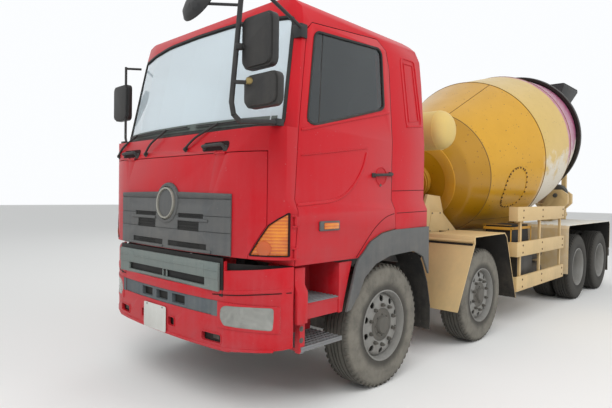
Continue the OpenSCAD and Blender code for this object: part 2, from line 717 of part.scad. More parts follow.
module charge_hopper() color(DARK) place() {
    difference() {
        hull() {
            block([-7640, -6760], [-540, 540], [3760, 3800]);
            block([-7160, -6860], [-280, 280], [3060, 3100]);
        }
        hull() {
            block([-7630, -6770], [-530, 530], [3790, 3830]);
            block([-7150, -6870], [-270, 270], [3050, 3090]);
        }
    }
    both_sides() side_plate([[post_x, hopper_bar_z + 80 + seat], [-7155, hopper_bar_z + 80 + seat], [-7155, 3095],
        [-7208, 3172], [post_x, 3172]], 150, 190);
}

module discharge_funnel() color(BEIGE) place() {
    difference() {
        hull() {
            block([-7620, -7070], [-post_y + seat, post_y - seat], [2390, 2400]);
            block([-7530, -7290], [-180, 180], [1825, 1835]);
        }
        hull() {
            block([-7612, -7078], [-post_y + 9, post_y - 9], [2390, 2410]);
            block([-7522, -7298], [-172, 172], [1815, 1835]);
        }
    }
    // post of the chute, on the subframe
    rod_z(60, chute_x, 0, sub_top - 10 + seat, chute_z - 330);
    rod_z(chute_pin_r - seat, chute_x, 0, sub_top, chute_z - 250);
}

// A half-round trough that runs back from the pivot between two places, rim up
module trough(r, from, to) rotate([0, -90, 0]) translate([0, 0, from]) difference() {
    cylinder(r = r + chute_t, h = to - from);
    translate([0, 0, -1]) cylinder(r = r, h = to - from + 2);
    translate([0, -r - 20, -1]) cube([r + 20, 2 * r + 40, to - from + 2]);
}

module chute() color(BEIGE) place() translate([chute_x, 0, chute_z]) difference() {
    y = trough_r + chute_t;
    union() {
        // trough with the flap's hinge ears and pins by its lip
        rotate([0, -chute_tilt, 0]) {
            trough(trough_r, -130, chute_l);
            both_sides() block([-chute_l - ear, -chute_l + 60], [y - 6, y + 8], [-40, -5]);
            both_sides() block([-chute_l - ear, -chute_l + 40], [y + 0.5, y + 8], [-6, 4 + ear]);
            both_sides() rod_y(8, -chute_l, y + 2, y + 20, 4);
        }
        // turning foot
        translate([0, 0, -330 + seat]) cylinder(r = 75, h = 170);
    }
    translate([0, 0, -340]) cylinder(r = chute_pin_r, h = 95);
    rotate([0, -chute_tilt - 90, 0]) translate([0, 0, -200]) cylinder(r = trough_r, h = 500);
}

module chute_flap() color(BEIGE) place() translate([chute_x, 0, chute_z]) rotate([0, -chute_tilt, 0]) {
    y = trough_r + chute_t;
    difference() {
        mirror([0, 0, 1]) translate([0, 0, -8]) trough(trough_r - 6, 165, chute_l - 20);
        rod_y(26, -chute_l, -500, 500, 4);
    }
    both_sides() difference() {
        block([-chute_l - ear, -chute_l + 64], [y + 9, y + 18], [-10, 4 + ear + 8]);
        rod_y(8 + seat, -chute_l, y, y + 40, 4);
    }
    both_sides() block([-chute_l + 44, -chute_l + 64], [y - 13, y + 18], [12, 40]);
}

module rear_ladder() color(YELLOW) place() {
    x = post_x - 55;
    y = post_y + post_w;
    mirror([0, 1, 0]) {
        for (p = [40, 380]) rod_z(18, x, y + p, 830, 3300);
        for (z = [930 : 300 : 3200]) rod_y(13, x, y + 40, y + 380, z);
        // lugs on the rear post
        for (z = [1240, 2700]) block([x, x + 100], [y + seat, y + 45], [z, z + 40]);
        // small platform beside the hopper
        block([x, x + 420], [y + seat, y + 380], [2600, 2630]);
    }
}

module rear_lamp_bar() color(BLACK) place() {
    block([rail_rear + 5, rail_rear + 65], [-1180, 1180], [rail_low - 180, rail_low - 60]);
    both_sides() block([rail_rear + 5, rail_rear + 120], [rail_y - 70, rail_y - 20], [rail_low - 150, rail_low - seat]);
    both_sides() block([rail_rear - 70, rail_rear + 25], [820, 1160], [rail_low - 70, rail_low + 40]);
}

// Cab

// Side view of the cab, moved in by a distance; low is the bottom of the doors
function cab_side(d, low) = [[-cab_back + d, arch_z + d], [-72, arch_z - 8 + d], [110, arch_z - 32 + d],
    [270, arch_z - 92 + d], [380, arch_z - 180 + d], [430 + d, low + d], [1128, low + d], [1128 + d * 0.3, nose_z + d],
    [cab_nose - d, nose_z + d], [cab_nose - 40 - d, lid_top], [cab_nose - 85 - d, belt_z], [cab_nose - 85 - d, belt_z + 60],
    [1105 - d, 2935], [1010 - d, roof_z - 25 - d], [850, roof_z - d], [-400, roof_z - 12 - d],
    [-540 + d * 0.4, roof_z - 65 - d * 0.6], [-cab_back + 15 + d * 0.9, roof_z - 190], [-cab_back + d, roof_z - 420]];

// Right half of the front view: a ledge over the sill, then the sides lean in to the roof
function cab_half(d) = [[roof_z + 12 - d, 0], [roof_z - 10 - d, 800], [roof_z - 40 - d, 1005 - d * 0.6], [roof_z - 105, 1072 - d],
    [2850, 1100 - d], [belt_z, side_y - d], [1575, side_y - d], [1495, cab_y - d], [900, cab_y - d]];
function cab_front(d) = [for (p = mirrored(cab_half(d))) [p[1], p[0]]];

// Plan of the lower cab: flat nose and round corners
function nose_plan(d) = concat([[-2000, cab_y + 60], [round_x, cab_y + 60]], mirrored(concat(
    [[cab_nose + 5 - d, 0], [cab_nose - 6 - d, 400], [cab_nose - 28 - d, 700]],
    [for (a = [12 : 8 : 84]) [round_x + (cab_nose - 45 - round_x - d) * cos(a),
        round_y + (cab_y + 10 - round_y - d) * sin(a)]])), [[round_x, -cab_y - 60], [-2000, -cab_y - 60]]);

// Plan of the upper cab, behind its bowed windscreen, measured from the screen's foot
function screen_plan(d) = concat([[-2600, cab_y + 60]], mirrored([[-d, 0], [-14 - d, 400], [-48 - d, 740],
    [-98 - d, 980], [-150 - d, 1112 - d * 0.4], [-230 - d, 1190 - d * 0.8], [-330 - d, 1260]]), [[-2600, -cab_y - 60]]);

// The whole cab's form, moved in by a distance on all sides
module cab_solid(d, low) intersection() {
    side_plate(cab_side(d, low), -cab_y - 100, cab_y + 100);
    run_along(cab_front(d), -cab_back - 100, cab_nose + 100);
    union() {
        raise(nose_plan(d), 800, belt_z - d * 0.5);
        intersection() {
            translate([cab_nose - 95, 0, belt_z]) rotate([0, -screen_lean, 0]) raise(screen_plan(d), -200, 1300);
            block([-3000, 3000], [-2000, 2000], [1800, 3500]);
        }
    }
}

// Outline of a door in side view: front edge, foot, wheel arch, rear edge and top
function door_line(g) = [[1121 + g, sill_z - 60], [400 - g, sill_z - 60], [400 - g, 1150], [270 - g, arch_z - 86 - g],
    [110 - g, arch_z - 26 - g], [-95 - g, arch_z - g], [-75 - g, 1500], [-80 - g, 2700], [-45 - g, 2850], [60, 2925 + g],
    [880, 2850 + g], [935 + g, 2790 + g], [1062 + g, belt_z]];

module door_cut(g, depth) both_sides() side_plate(door_line(g), cab_y - depth, cab_y + 60);

// Side window in side view, its sill falling towards the front
WINDOW = [[975, belt_z + 55], [860, 2765], [820, 2800], [60, 2845], [20, 2810], [20, 2360], [60, 2330], [700, 2160], [880, 2110]];

// Front lid and windscreen in front view
function lid_line(g) = [[-lid_y - g, lid_top + g], [-lid_y - g, 1400], [-corner_y - g, 1186], [-corner_y + 10 - g, nose_z - 60],
    [corner_y - 10 + g, nose_z - 60], [corner_y + g, 1186], [lid_y + g, 1400], [lid_y + g, lid_top + g]];
function screen_line(g) = [[-1088 + g, belt_z + 14 + g], [1088 - g, belt_z + 14 + g], [1030 - g, 2880 - g], [500, 2920 - g],
    [-500, 2920 - g], [-1030 + g, 2880 - g]];

// Corner lamp in front view
function lamp_line(g) = [[corner_y + 12 + g, 1186 + g], [lid_y + 12 + g, 1400], [1230, 1530 - g], [1230, 1186 + g]];

// Sleeves of the door hinges, their brackets, and the room they need
module door_sleeves() for (z = door_hinges) difference() {
    union() {
        rod_z(11, hinge_x, hinge_y, z + 0.5, z + 59.5);
        block([hinge_x - 38, hinge_x], [hinge_y - 18, hinge_y], [z + 0.5, z + 59.5]);
    }
    rod_z(pin_r + seat, hinge_x, hinge_y, z, z + 60);
}
module door_brackets() for (z = door_hinges) {
    for (h = [z - 12, z + 60]) {
        rod_z(11, hinge_x, hinge_y, h, h + 12);
        block([hinge_x, hinge_x + 22], [hinge_y - 36, hinge_y + 8], [h, h + 12]);
    }
    rod_z(pin_r, hinge_x, hinge_y, z - 12, z + 72);
}
module door_hinge_room(z0, z1) for (z = door_hinges) rod_z(14, hinge_x, hinge_y, z + z0, z + z1);
module door_sleeve_room() for (z = door_hinges)
    block([hinge_x - 42, hinge_x + 1], [hinge_y - 19, hinge_y + 20], [z - 0.5, z + 60.5]);

// The same for the front lid
module lid_sleeves() for (y = lid_hinges) difference() {
    union() {
        rod_y(9, lid_hinge_x, y + 0.5, y + 99.5, lid_hinge_z);
        block([lid_hinge_x - 20, lid_hinge_x], [y + 0.5, y + 99.5], [lid_hinge_z - 20, lid_hinge_z]);
    }
    rod_y(pin_r + seat, lid_hinge_x, y, y + 100, lid_hinge_z);
}
module lid_brackets() for (y = lid_hinges) {
    for (e = [y - 12, y + 100]) {
        rod_y(9, lid_hinge_x, e, e + 12, lid_hinge_z);
        block([lid_hinge_x - 22, lid_hinge_x], [e, e + 12], [lid_hinge_z, lid_hinge_z + 18]);
    }
    rod_y(pin_r, lid_hinge_x, y - 12, y + 112, lid_hinge_z);
}
module lid_hinge_room(y0, y1) for (y = lid_hinges) rod_y(12, lid_hinge_x, y + y0, y + y1, lid_hinge_z);

module cab_shell() color(RED) place() {
    difference() {
        union() {
            difference() {
                cab_solid(0, sill_z);
                cab_solid(wall, sill_z);
            }
            // inner skin around the engine, and the bulkhead behind the front lid
            intersection() {
                cab_solid(wall / 2, sill_z);
                union() {
                    block([-cab_back, 1200], [-tunnel_y - 20, tunnel_y + 20], [nose_z - 100, tunnel_z + 20]);
                    block([firewall_x, firewall_x + 20], [-cab_y, cab_y], [nose_z - 100, belt_z - 40]);
                }
            }
        }
        block([-cab_back - 50, 1500], [-tunnel_y, tunnel_y], [nose_z - 200, tunnel_z]);
        door_cut(door_gap, 200);
        run_along(lid_line(door_gap), firewall_x + 20, 1500);
        run_along(screen_line(0), 900, 1500);
        both_sides() run_along(lamp_line(0), corner_x, 1500);
        both_sides() { door_hinge_room(-0.5, 60.5); door_sleeve_room(); }
        lid_hinge_room(-0.5, 100.5);
    }
    both_sides() door_brackets();
    lid_brackets();
    // arms of the tilt hinge
    both_sides() difference() {
        union() {
            side_plate([[tilt_x - 30, tilt_z - 30], [tilt_x + 25, tilt_z - 30], [tilt_x + 36, tilt_z],
                [tilt_x + 25, tilt_z + 30], [1160, 1040], [1150, sill_z + 30], [1050, sill_z + 30], [1050, 980]],
                rail_y + 6, rail_y + 46);
            block([1050, 1150], [rail_y + 6, tunnel_y + 60], [sill_z + 5, sill_z + 30]);
        }
        rod_y(hinge_pin_r, tilt_x, rail_y, rail_y + 60, tilt_z);
    }
}

module windscreen() color(CLEAR) place() intersection() {
    difference() {
        cab_solid(8, sill_z);
        cab_solid(14, sill_z);
    }
    run_along(screen_line(seat), 900, 1500);
}

module one_door() color(RED) place() {
    difference() {
        intersection() {
            cab_solid(0, sill_z);
            side_plate(door_line(0), cab_y - 300, cab_y + 60);
        }
        intersection() {
            run_along(cab_front(door_t), -cab_back - 100, cab_nose + 100);
            block([-1000, 2000], [-cab_y, cab_y], [1000, 3500]);
        }
        side_plate(WINDOW, cab_y - 320, cab_y + 80);
        door_hinge_room(-14, 74);
    }
    door_sleeves();
}
module door_left() one_door();
module door_right() mirror([0, 1, 0]) one_door();

// Slots of the upper grille: lowest edge, height, first and last width
SLOTS = [[1195, 42, 40, 540], [1325, 72, 165, 450], [1422, 34, 165, 500]];

module slot_cut() for (s = SLOTS) both_sides() block([1200, 1500], [s[2], s[3]], [s[0], s[0] + s[1]]);

module front_lid() color(RED) place() {
    difference() {
        intersection() {
            cab_solid(0, sill_z);
            run_along(lid_line(0), firewall_x + 26, 1500);
        }
        cab_solid(30, sill_z - 100);
        slot_cut();
        lid_hinge_room(-14, 114);
    }
    lid_sleeves();
}

module upper_grille() color(GREY) place() difference() {
    intersection() {
        cab_solid(-14, sill_z);
        union() {
            run_along([[-790, nose_z + 5], [790, nose_z + 5], [790, 1610], [200, 1620], [-200, 1620], [-790, 1610]], 1200, 1500);
            rod_x(165, 1200, 1500, 0, 1530);
        }
    }
    cab_solid(-seat, sill_z);
    slot_cut();
}

module corner_lamps() color(AMBER) place() both_sides() difference() {
    intersection() {
        cab_solid(3, sill_z);
        run_along(lamp_line(seat), corner_x + seat, 1500);
    }
    cab_solid(wall, sill_z);
}

module arch_flares() color(GREY) place() both_sides() side_plate([[-cab_back - 20, arch_z - seat], [-72, arch_z - 8 - seat],
    [110, arch_z - 32 - seat], [270, arch_z - 92 - seat], [380, arch_z - 180 - seat - door_gap], [425, sill_z - 8], [460, 1060], [540, 820], [573, 727],
    [523, 734], [421, 840], [348, 964], [200, 1060], [0, 1110], [-374, 1125], [-536, 1064], [-640, 893]], cab_y - 8, cab_y + 14);

// A rod between two points
module bar(r, p, q) {
    v = q - p;
    translate(p) rotate([0, acos(v[2] / norm(v)), atan2(v[1], v[0])]) cylinder(r = r, h = norm(v));
}

// Front view outline of a mirror's head, with round corners
function head_line(y, z, r) = [for (c = [[y[1] - r, z[1] - r, 0], [y[0] + r, z[1] - r, 90],
    [y[0] + r, z[0] + r, 180], [y[1] - r, z[0] + r, 270]]) for (a = [0 : 22.5 : 90])
    [c[0] + r * cos(c[2] + a), c[1] + r * sin(c[2] + a)]];
module mirror_head(x, y, z) {
    run_along(head_line(y, z, 45), x, x + 45);
    run_along(head_line([y[0] + 10, y[1] - 10], [z[0] + 10, z[1] - 10], 45), x + 44, x + 64);
}

module mirrors() color(BLACK) place() {
    // left: foot on the cab's shoulder, leaning pole, stay to the pillar
    block([1190, 1255], [1085, 1142], [belt_z + seat, belt_z + 46]);
    for (i = [0 : 3]) bar(mirror_r, POLE[i], POLE[i + 1] + 5 * (POLE[i + 1] - POLE[i]) / norm(POLE[i + 1] - POLE[i]));
    bar(13, [POLE[4][0] + 5, 1216, 2940], [1000, 1112, 2780]);
    difference() {
        block([955, 1020], [1040, 1125], [2715, 2810]);
        cab_solid(-seat, sill_z);
    }
    // its main mirror, wide mirror and the round mirror that looks down at the bumper
    mirror_head(1568, [1225, 1485], [2345, 2655]);
    mirror_head(1553, [1230, 1515], [2118, 2315]);
    bar(12, [1665, 1216, 2480], [1610, 1260, 2480]);
    bar(12, [1690, 1216, 2270], [1610, 1275, 2270]);
    translate([front_reach - 92, 900, 2790]) rotate([0, 60, 0]) rotate_extrude()
        polygon([[0, 0], [130, 0], [130, 8], [105, 42], [60, 64], [0, 70]]);
    bar(9, [1632, 1216, 2735], [front_reach - 75, 985, 2775]);
    // right: a short pole on the pillar beside the driver
    block([1146, 1196], [-1158, -1106], [belt_z + seat, belt_z + 40]);
    bar(12, [1150, -1138, belt_z + 25], [1130, -1200, 2156]);
    rod_z(12, 1130, -1200, 2150, 2860);
    bar(11, [1130, -1200, 2845], [1015, -1106, 2845]);
    mirror_head(1081, [-1435, -1165], [2335, 2690]);
}

module seats() color(DARK) place() both_sides() {
    side_plate([[-150, 1560], [400, 1560], [430, 1620], [380, 1690], [-100, 1680], [-210, 2480], [-270, 2560], [-330, 2540], [-330, 2440], [-250, 1620]], 560, 1050);
    side_plate([[-72, arch_z - 8 + wall + seat], [110, arch_z - 32 + wall + seat], [250, arch_z - 84.5 + wall + seat],
        [250, 1562], [-72, 1562]], 640, 960);
}

module dashboard() color(DARK) place() {
    side_plate([[firewall_x - seat, 1560], [firewall_x - seat, 2010], [1080, 2020], [920, 1960], [870, 1840], [960, 1640], [1000, 1560]], -1060, 1060);
    // steering column and wheel, on the right
    translate([950, -620, 1760]) rotate([0, -52, 0]) {
        cylinder(r = 30, h = 330);
        translate([0, 0, 330]) rotate_extrude() translate([235, 0]) circle(r = 16);
        translate([0, 0, 315]) cylinder(r = 60, h = 20);
        for (a = [90, 210, 330]) rotate(a) translate([0, -20, 322]) cube([235, 40, 12]);
    }
}

frame_rails();
cross_members();
front_beam();
mixer_subframe();
engine_block();
gearbox();
radiator();
front_bumper();
bumper_band();
lower_grille();
headlamps();
steer_axles();
drive_axles();
leaf_springs();
propshafts();
drum_stand_front();
drum_gearbox();
drum_stand_rear();
drum_rollers();
water_tank();
axle_2_fenders();
rear_fenders();
side_guards();
front_mudguards();
step_boxes();
fuel_tank();
battery_box();
silencer();
charge_hopper();
discharge_funnel();
rear_ladder();
rear_lamp_bar();
cab_shell();
windscreen();
corner_lamps();
arch_flares();
mirrors();
seats();
dashboard();
door_left();
door_right();
front_lid();
upper_grille();
knuckle_1l();
knuckle_1r();
knuckle_2l();
knuckle_2r();
wheel_1l();
wheel_1r();
wheel_2l();
wheel_2r();
wheels_3l();
wheels_3r();
wheels_4l();
wheels_4r();
drum_shell();
drum_blades();
chute();
chute_flap();
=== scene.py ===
"""Concrete mixer truck: looks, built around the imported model's frame."""
import bpy
import json
from math import radians, pi, sin, cos, tan, atan2, hypot
from mathutils import Matrix, Vector
from mathutils.bvhtree import BVHTree


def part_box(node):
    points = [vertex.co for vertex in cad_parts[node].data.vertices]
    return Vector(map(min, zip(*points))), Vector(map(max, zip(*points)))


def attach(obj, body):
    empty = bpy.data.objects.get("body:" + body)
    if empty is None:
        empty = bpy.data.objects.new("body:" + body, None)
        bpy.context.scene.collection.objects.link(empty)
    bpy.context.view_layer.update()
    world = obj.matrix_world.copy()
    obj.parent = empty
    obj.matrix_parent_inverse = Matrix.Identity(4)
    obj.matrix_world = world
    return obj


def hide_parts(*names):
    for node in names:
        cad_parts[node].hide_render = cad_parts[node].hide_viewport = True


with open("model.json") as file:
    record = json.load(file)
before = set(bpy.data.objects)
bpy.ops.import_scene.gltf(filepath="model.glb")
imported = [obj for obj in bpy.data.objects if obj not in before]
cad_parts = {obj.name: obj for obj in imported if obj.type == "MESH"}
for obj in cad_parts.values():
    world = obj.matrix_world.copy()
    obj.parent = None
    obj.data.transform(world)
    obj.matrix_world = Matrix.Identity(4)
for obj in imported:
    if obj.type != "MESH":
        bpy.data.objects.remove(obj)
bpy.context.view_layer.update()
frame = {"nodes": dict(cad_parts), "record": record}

# ---------------------------------------------------------------- camera
# The photograph's viewpoint, solved from its four wheels: a wide lens at 1.6 m, ahead of the
# left front corner. F is the first axle's place; lengths along the truck are written from it.
F = 3.230
camera_place = Vector((F + 3.537306, 3.577658, 1.608259))
yaw, pitch, roll = 0.757539, -0.017660, 0.014466
forward = Vector((-cos(yaw) * cos(pitch), -sin(yaw) * cos(pitch), sin(pitch)))
level = forward.cross(Vector((0, 0, 1))).normalized()
upright = level.cross(forward)
camera_right = cos(roll) * level + sin(roll) * upright
camera_up = -sin(roll) * level + cos(roll) * upright
bpy.ops.object.camera_add()
camera = bpy.context.object
camera.name = "camera"
camera.matrix_world = Matrix((
    (camera_right.x, camera_up.x, -forward.x, camera_place.x),
    (camera_right.y, camera_up.y, -forward.y, camera_place.y),
    (camera_right.z, camera_up.z, -forward.z, camera_place.z),
    (0, 0, 0, 1)))
camera.data.sensor_width = 36
camera.data.lens = 29.49
camera.data.clip_start = 0.05
bpy.context.scene.camera = camera


# ---------------------------------------------------------------- studio
# A pale floor under a bright, even sky, with three large soft lamps, the strongest on the
# side that the photograph is taken from, as on an overcast day.
def linear(code):
    """The linear colour of an sRGB hex value."""
    parts = [int(code[i:i + 2], 16) / 255 for i in (1, 3, 5)]
    return tuple(c / 12.92 if c <= 0.04045 else ((c + 0.055) / 1.055) ** 2.4 for c in parts) + (1,)


def node(owner, kind, inputs=None, out=0, **settings):
    """Adds a node and gives one of its outputs; an input is a value or the socket it hangs on."""
    made = owner.node_tree.nodes.new("ShaderNode" + kind)
    for name, value in settings.items():
        setattr(made, name, value)
    for name, value in (inputs or {}).items():
        if isinstance(value, bpy.types.NodeSocket):
            owner.node_tree.links.new(value, made.inputs[name])
        else:
            made.inputs[name].default_value = value
    return made.outputs[out]


def surface(name, values):
    """A new material with values on its shader; gives the shader and Object coordinates too."""
    material = bpy.data.materials.new(name)
    material.use_nodes = True
    shader = material.node_tree.nodes["Principled BSDF"]
    for socket, value in values.items():
        shader.inputs[socket].default_value = value
    return material, shader, node(material, "TexCoord", out="Object")


def joined(socket, shader, name):
    """Links a pattern to one of a shader's sockets."""
    shader.id_data.links.new(socket, shader.inputs[name])


def alone(thing=None):
    """Leaves only one object selected and active, or none."""
    if bpy.context.object and bpy.context.object.mode != "OBJECT":
        bpy.ops.object.mode_set(mode="OBJECT")
    bpy.ops.object.select_all(action="DESELECT")
    if thing:
        thing.select_set(True)
    bpy.context.view_layer.objects.active = thing


alone()
bpy.ops.mesh.primitive_plane_add(size=120, location=(0, 0, -0.001))
floor = bpy.context.object
floor.name = "studio_floor"
# matt, so that it keeps the truck's shadow and shows no picture of it
pale_floor = surface("pale_floor", {"Base Color": linear("#F0F0EE"), "Roughness": 0.9})[0]
floor.data.materials.append(pale_floor)

# the sky is white where it is seen, and lights the truck a little less
SKY_LIGHT = 0.62
sky = bpy.data.worlds.new("even_sky")
sky.use_nodes = True
seen = node(sky, "LightPath", out="Is Camera Ray")
rays = seen.node.outputs
for kind in ("Is Glossy Ray", "Is Transmission Ray"):
    seen = node(sky, "Math", {0: seen, 1: rays[kind]}, operation="MAXIMUM")
strength = node(sky, "Math", {0: seen, 1: 1 - SKY_LIGHT, 2: SKY_LIGHT}, operation="MULTIPLY_ADD")
background = sky.node_tree.nodes["Background"]
background.inputs["Color"].default_value = (0.97, 0.985, 1, 1)
joined(strength, background, "Strength")
bpy.context.scene.world = sky
LAMP_SIZE = 6.0
for name, place, aim, power in (
        ("key_lamp", (9.5, 4.5, 8.0), (2.0, 0, 1.2), 520),
        ("side_lamp", (-1.0, 9.5, 7.0), (0.0, 0, 1.2), 380),
        ("back_lamp", (-8.0, -8.0, 8.0), (-1.0, 0, 1.5), 300)):
    bpy.ops.object.light_add(type="AREA", location=place)
    lamp = bpy.context.object
    lamp.name = name
    lamp.data.size = LAMP_SIZE
    lamp.data.energy = power
    lamp.visible_glossy = False
    lamp.rotation_euler = (Vector(aim) - Vector(place)).to_track_quat("-Z", "Y").to_euler()
bpy.context.scene.view_settings.view_transform = "Standard"


# ---------------------------------------------------------------- chassis frame
# Two pressed steel side rails with cross members, riveted and painted black, grey with
# road dust. It carries the cab, the axles and the mixer's own frame.
BODY_OF = {name: body for body, names in frame["record"]["behaviour"]["bodies"].items() for name in names}
# the two steps that most work on a mesh needs
ALL = (bpy.ops.mesh.select_all, dict(action="SELECT"))
OUTWARDS = (bpy.ops.mesh.normals_make_consistent, dict(inside=False))


def worked(shape, *steps):
    """Runs mesh operators in edit mode, from the whole of one piece."""
    alone(shape)
    bpy.ops.object.mode_set(mode="EDIT")
    for operator, settings in (ALL, *steps):
        operator(**settings)
    bpy.ops.object.mode_set(mode="OBJECT")
    return shape


def modified(shape, kind, **settings):
    """Adds a modifier to a piece and applies it."""
    alone(shape)
    change = shape.modifiers.new(kind, kind)
    for name, value in settings.items():
        setattr(change, name, value)
    bpy.ops.object.modifier_apply(modifier=change.name)
    return shape


def merged_copy(name):
    """A copy of a CAD node with its loose triangles merged, standing for the node."""
    shape = bpy.data.objects.new(name + "_worked", frame["nodes"][name].data.copy())
    shape.data.materials.clear()
    bpy.context.scene.collection.objects.link(shape)
    worked(shape, (bpy.ops.mesh.remove_doubles, dict(threshold=0.00002)),
           (bpy.ops.mesh.dissolve_limited, dict(angle_limit=radians(0.6))))
    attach(shape, BODY_OF[name])
    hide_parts(name)
    return shape


def rounded(shape, corner, turn=34):
    """Rounds off the hard corners of a piece and shades the rest smooth."""
    if corner:
        modified(shape, "BEVEL", width=corner, segments=2, limit_method="ANGLE", angle_limit=radians(turn))
    alone(shape)
    bpy.ops.object.shade_smooth_by_angle(angle=radians(turn))
    return shape


def dirty(name, colour, dust, low, high, cover, roughness, fleck=0.0, coat=0.0, metallic=0.0, specular=0.5):
    """A finish with road dust: thick below one height, thin above another, in clouds and
    faint runs that rain has left, with flecks of dried mortar."""
    material, shader, place = surface(name, {"Coat Weight": coat, "Coat Roughness": 0.25,
        "Metallic": metallic, "Specular IOR Level": specular})
    height = node(material, "SeparateXYZ", {0: place}, out="Z")
    depth = node(material, "MapRange", {"Value": height, "From Min": high, "From Max": low, "To Min": 0.12,
        "To Max": 1.0})
    # clouds 400 mm across; runs 45 mm wide and 700 mm long
    cloud = node(material, "TexNoise", {"Vector": place, "Scale": 2.6, "Detail": 10.0, "Roughness": 0.72})
    tall = node(material, "Mapping", {"Vector": place, "Scale": (22, 22, 1.4)})
    runs = node(material, "TexNoise", {"Vector": tall, "Scale": 1.0, "Detail": 4.0})
    both = node(material, "Math", {0: runs, 1: 0.35, 2: cloud}, operation="MULTIPLY_ADD")
    patch = node(material, "MapRange", {"Value": both, "From Min": 0.50, "From Max": 0.95})
    film = node(material, "Math", {0: depth, 1: patch}, operation="MULTIPLY")
    film = node(material, "Math", {0: film, 1: cover}, operation="MULTIPLY")
    # flecks of mortar, 4 to 10 mm across
    cells = node(material, "TexVoronoi", {"Vector": place, "Scale": 22.0})
    spot = node(material, "MapRange", {"Value": cells, "From Min": 0.12, "From Max": 0.07})
    few = node(material, "TexNoise", {"Vector": place, "Scale": 6.0, "Detail": 2.0})
    few = node(material, "MapRange", {"Value": few, "From Min": 0.48, "From Max": 0.60})
    spot = node(material, "Math", {0: spot, 1: few}, operation="MULTIPLY")
    spot = node(material, "Math", {0: spot, 1: fleck}, operation="MULTIPLY")
    film = node(material, "Math", {0: film, 1: spot}, operation="MAXIMUM")
    deep = tuple(c * 0.85 for c in linear(colour)[:3]) + (1,)
    paint = node(material, "Mix", {0: cloud, 6: linear(colour), 7: deep}, data_type="RGBA", out=2)
    mixed = node(material, "Mix", {0: film, 6: paint, 7: linear(dust)}, data_type="RGBA", out=2)
    joined(mixed, shader, "Base Color")
    dull = node(material, "MapRange", {"Value": film, "To Min": roughness, "To Max": 0.9})
    joined(dull, shader, "Roughness")
    # grit is under 1 mm, and drawn 5 mm across so that it shows
    grain = node(material, "TexNoise", {"Vector": place, "Scale": 220.0, "Detail": 3.0})
    bump = node(material, "Bump", {"Height": grain, "Strength": 0.12, "Distance": 0.001})
    joined(bump, shader, "Normal")
    return material


def dressed(name, material, corner=0.003):
    """A CAD node's worked copy in its finish."""
    shape = rounded(merged_copy(name), corner)
    shape.data.materials.append(material)
    return shape


# semi-matt enamel brushed on steel: near black, greyed by the road
chassis_paint = dirty("chassis_enamel", "#26282A", "#8A8072", 0.3, 1.2, 0.75, 0.6)
for name in ("frame_rails", "steer_axles", "drive_axles", "leaf_springs", "propshafts", "knuckle_1l",
        "knuckle_1r", "knuckle_2l", "knuckle_2r", "silencer", "cross_members", "front_beam"):
    dressed(name, chassis_paint)

# ---------------------------------------------------------------- engine and gearbox
# Cast iron block and gearbox case, oily and dusty, seen from below and behind the wheels,
# with the radiator ahead of them and the batteries' box beside the frame.

# sand-cast iron: dull grey with no gloss
cast_iron = dirty("cast_iron", "#4A4A48", "#857A6A", 0.3, 1.4, 0.8, 0.7)
for name in ("engine_block", "gearbox"):
    dressed(name, cast_iron)
# moulded ABS: black with a soft sheen
black_plastic = dirty("moulded_black_plastic", "#17181A", "#8A8378", 0.4, 3.2, 0.35, 0.5)
for name in ("radiator", "battery_box"):
    dressed(name, black_plastic)

# ---------------------------------------------------------------- fuel tank
# A welded steel tank strapped to the right rail, in the cream enamel that the water tank
# has too.

# air-dried enamel: a warm cream, half gloss under dust
cream_enamel = dirty("cream_enamel", "#D9BC6E", "#B7A98C", 1.0, 3.0, 0.5, 0.5)
dressed("fuel_tank", cream_enamel)

# ---------------------------------------------------------------- mixer frame and stands
# The mixer's own frame of folded channels lies on the rails; a stand at each end carries the
# drum, and two cast rollers on the rear one run under its track ring.

# sprayed enamel: sandy beige, half gloss, spotted with mortar
beige_enamel = dirty("beige_enamel", "#D2B480", "#A89878", 0.3, 1.6, 0.6, 0.5, fleck=0.3)
for name in ("mixer_subframe", "drum_stand_front", "drum_stand_rear"):
    dressed(name, beige_enamel)
dressed("drum_rollers", cast_iron)

# ---------------------------------------------------------------- tyres
# Radial truck tyres of the 11R22.5 size: black rubber with ribbed treads and blocks on
# their shoulders, the walls grey with dried mud. Steered wheels are single, driven ones twin.
def start(name, adder, **where):
    """Adds a primitive with nothing else selected, and names it."""
    alone()
    adder(**where)
    bpy.context.object.name = name
    return bpy.context.object


def settled(shape, body, material, corner=0.0, turn=34):
    """Ends a piece: its place kept in its mesh, corners rounded, finish and body given."""
    alone(shape)
    bpy.ops.object.transform_apply()
    rounded(shape, corner, turn)
    shape.data.materials.clear()
    shape.data.materials.append(material)
    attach(shape, body)
    return shape


def turned(name, section, centre, axis=(0, 1, 0), steps=72):
    """A ring turned about an axis; its section lists radius and place along the axis."""
    ring = start(name, bpy.ops.mesh.primitive_circle_add, vertices=len(section), fill_type="NOTHING")
    way = Vector(axis).normalized()
    out = way.orthogonal().normalized()
    for point, (radius, along) in zip(ring.data.vertices, section):
        point.co = Vector(centre) + out * radius + way * along
    return worked(ring, (bpy.ops.mesh.spin, dict(steps=steps, angle=2 * pi, center=centre, axis=way)), ALL,
        (bpy.ops.mesh.remove_doubles, dict(threshold=0.00005)), OUTWARDS)


def ringed(shape, count, centre, axis=(0, 1, 0)):
    """Repeats a piece evenly around an axis."""
    alone(shape)
    bpy.ops.object.transform_apply()
    last = 2 * pi * (count - 1) / count
    return worked(shape, (bpy.ops.mesh.spin, dict(steps=count - 1, angle=last, center=centre, axis=axis,
        dupli=True)))


def cut(shape, cutter):
    """Cuts one piece out of another."""
    modified(shape, "BOOLEAN", object=cutter, solver="EXACT")
    bpy.data.objects.remove(cutter)
    return shape


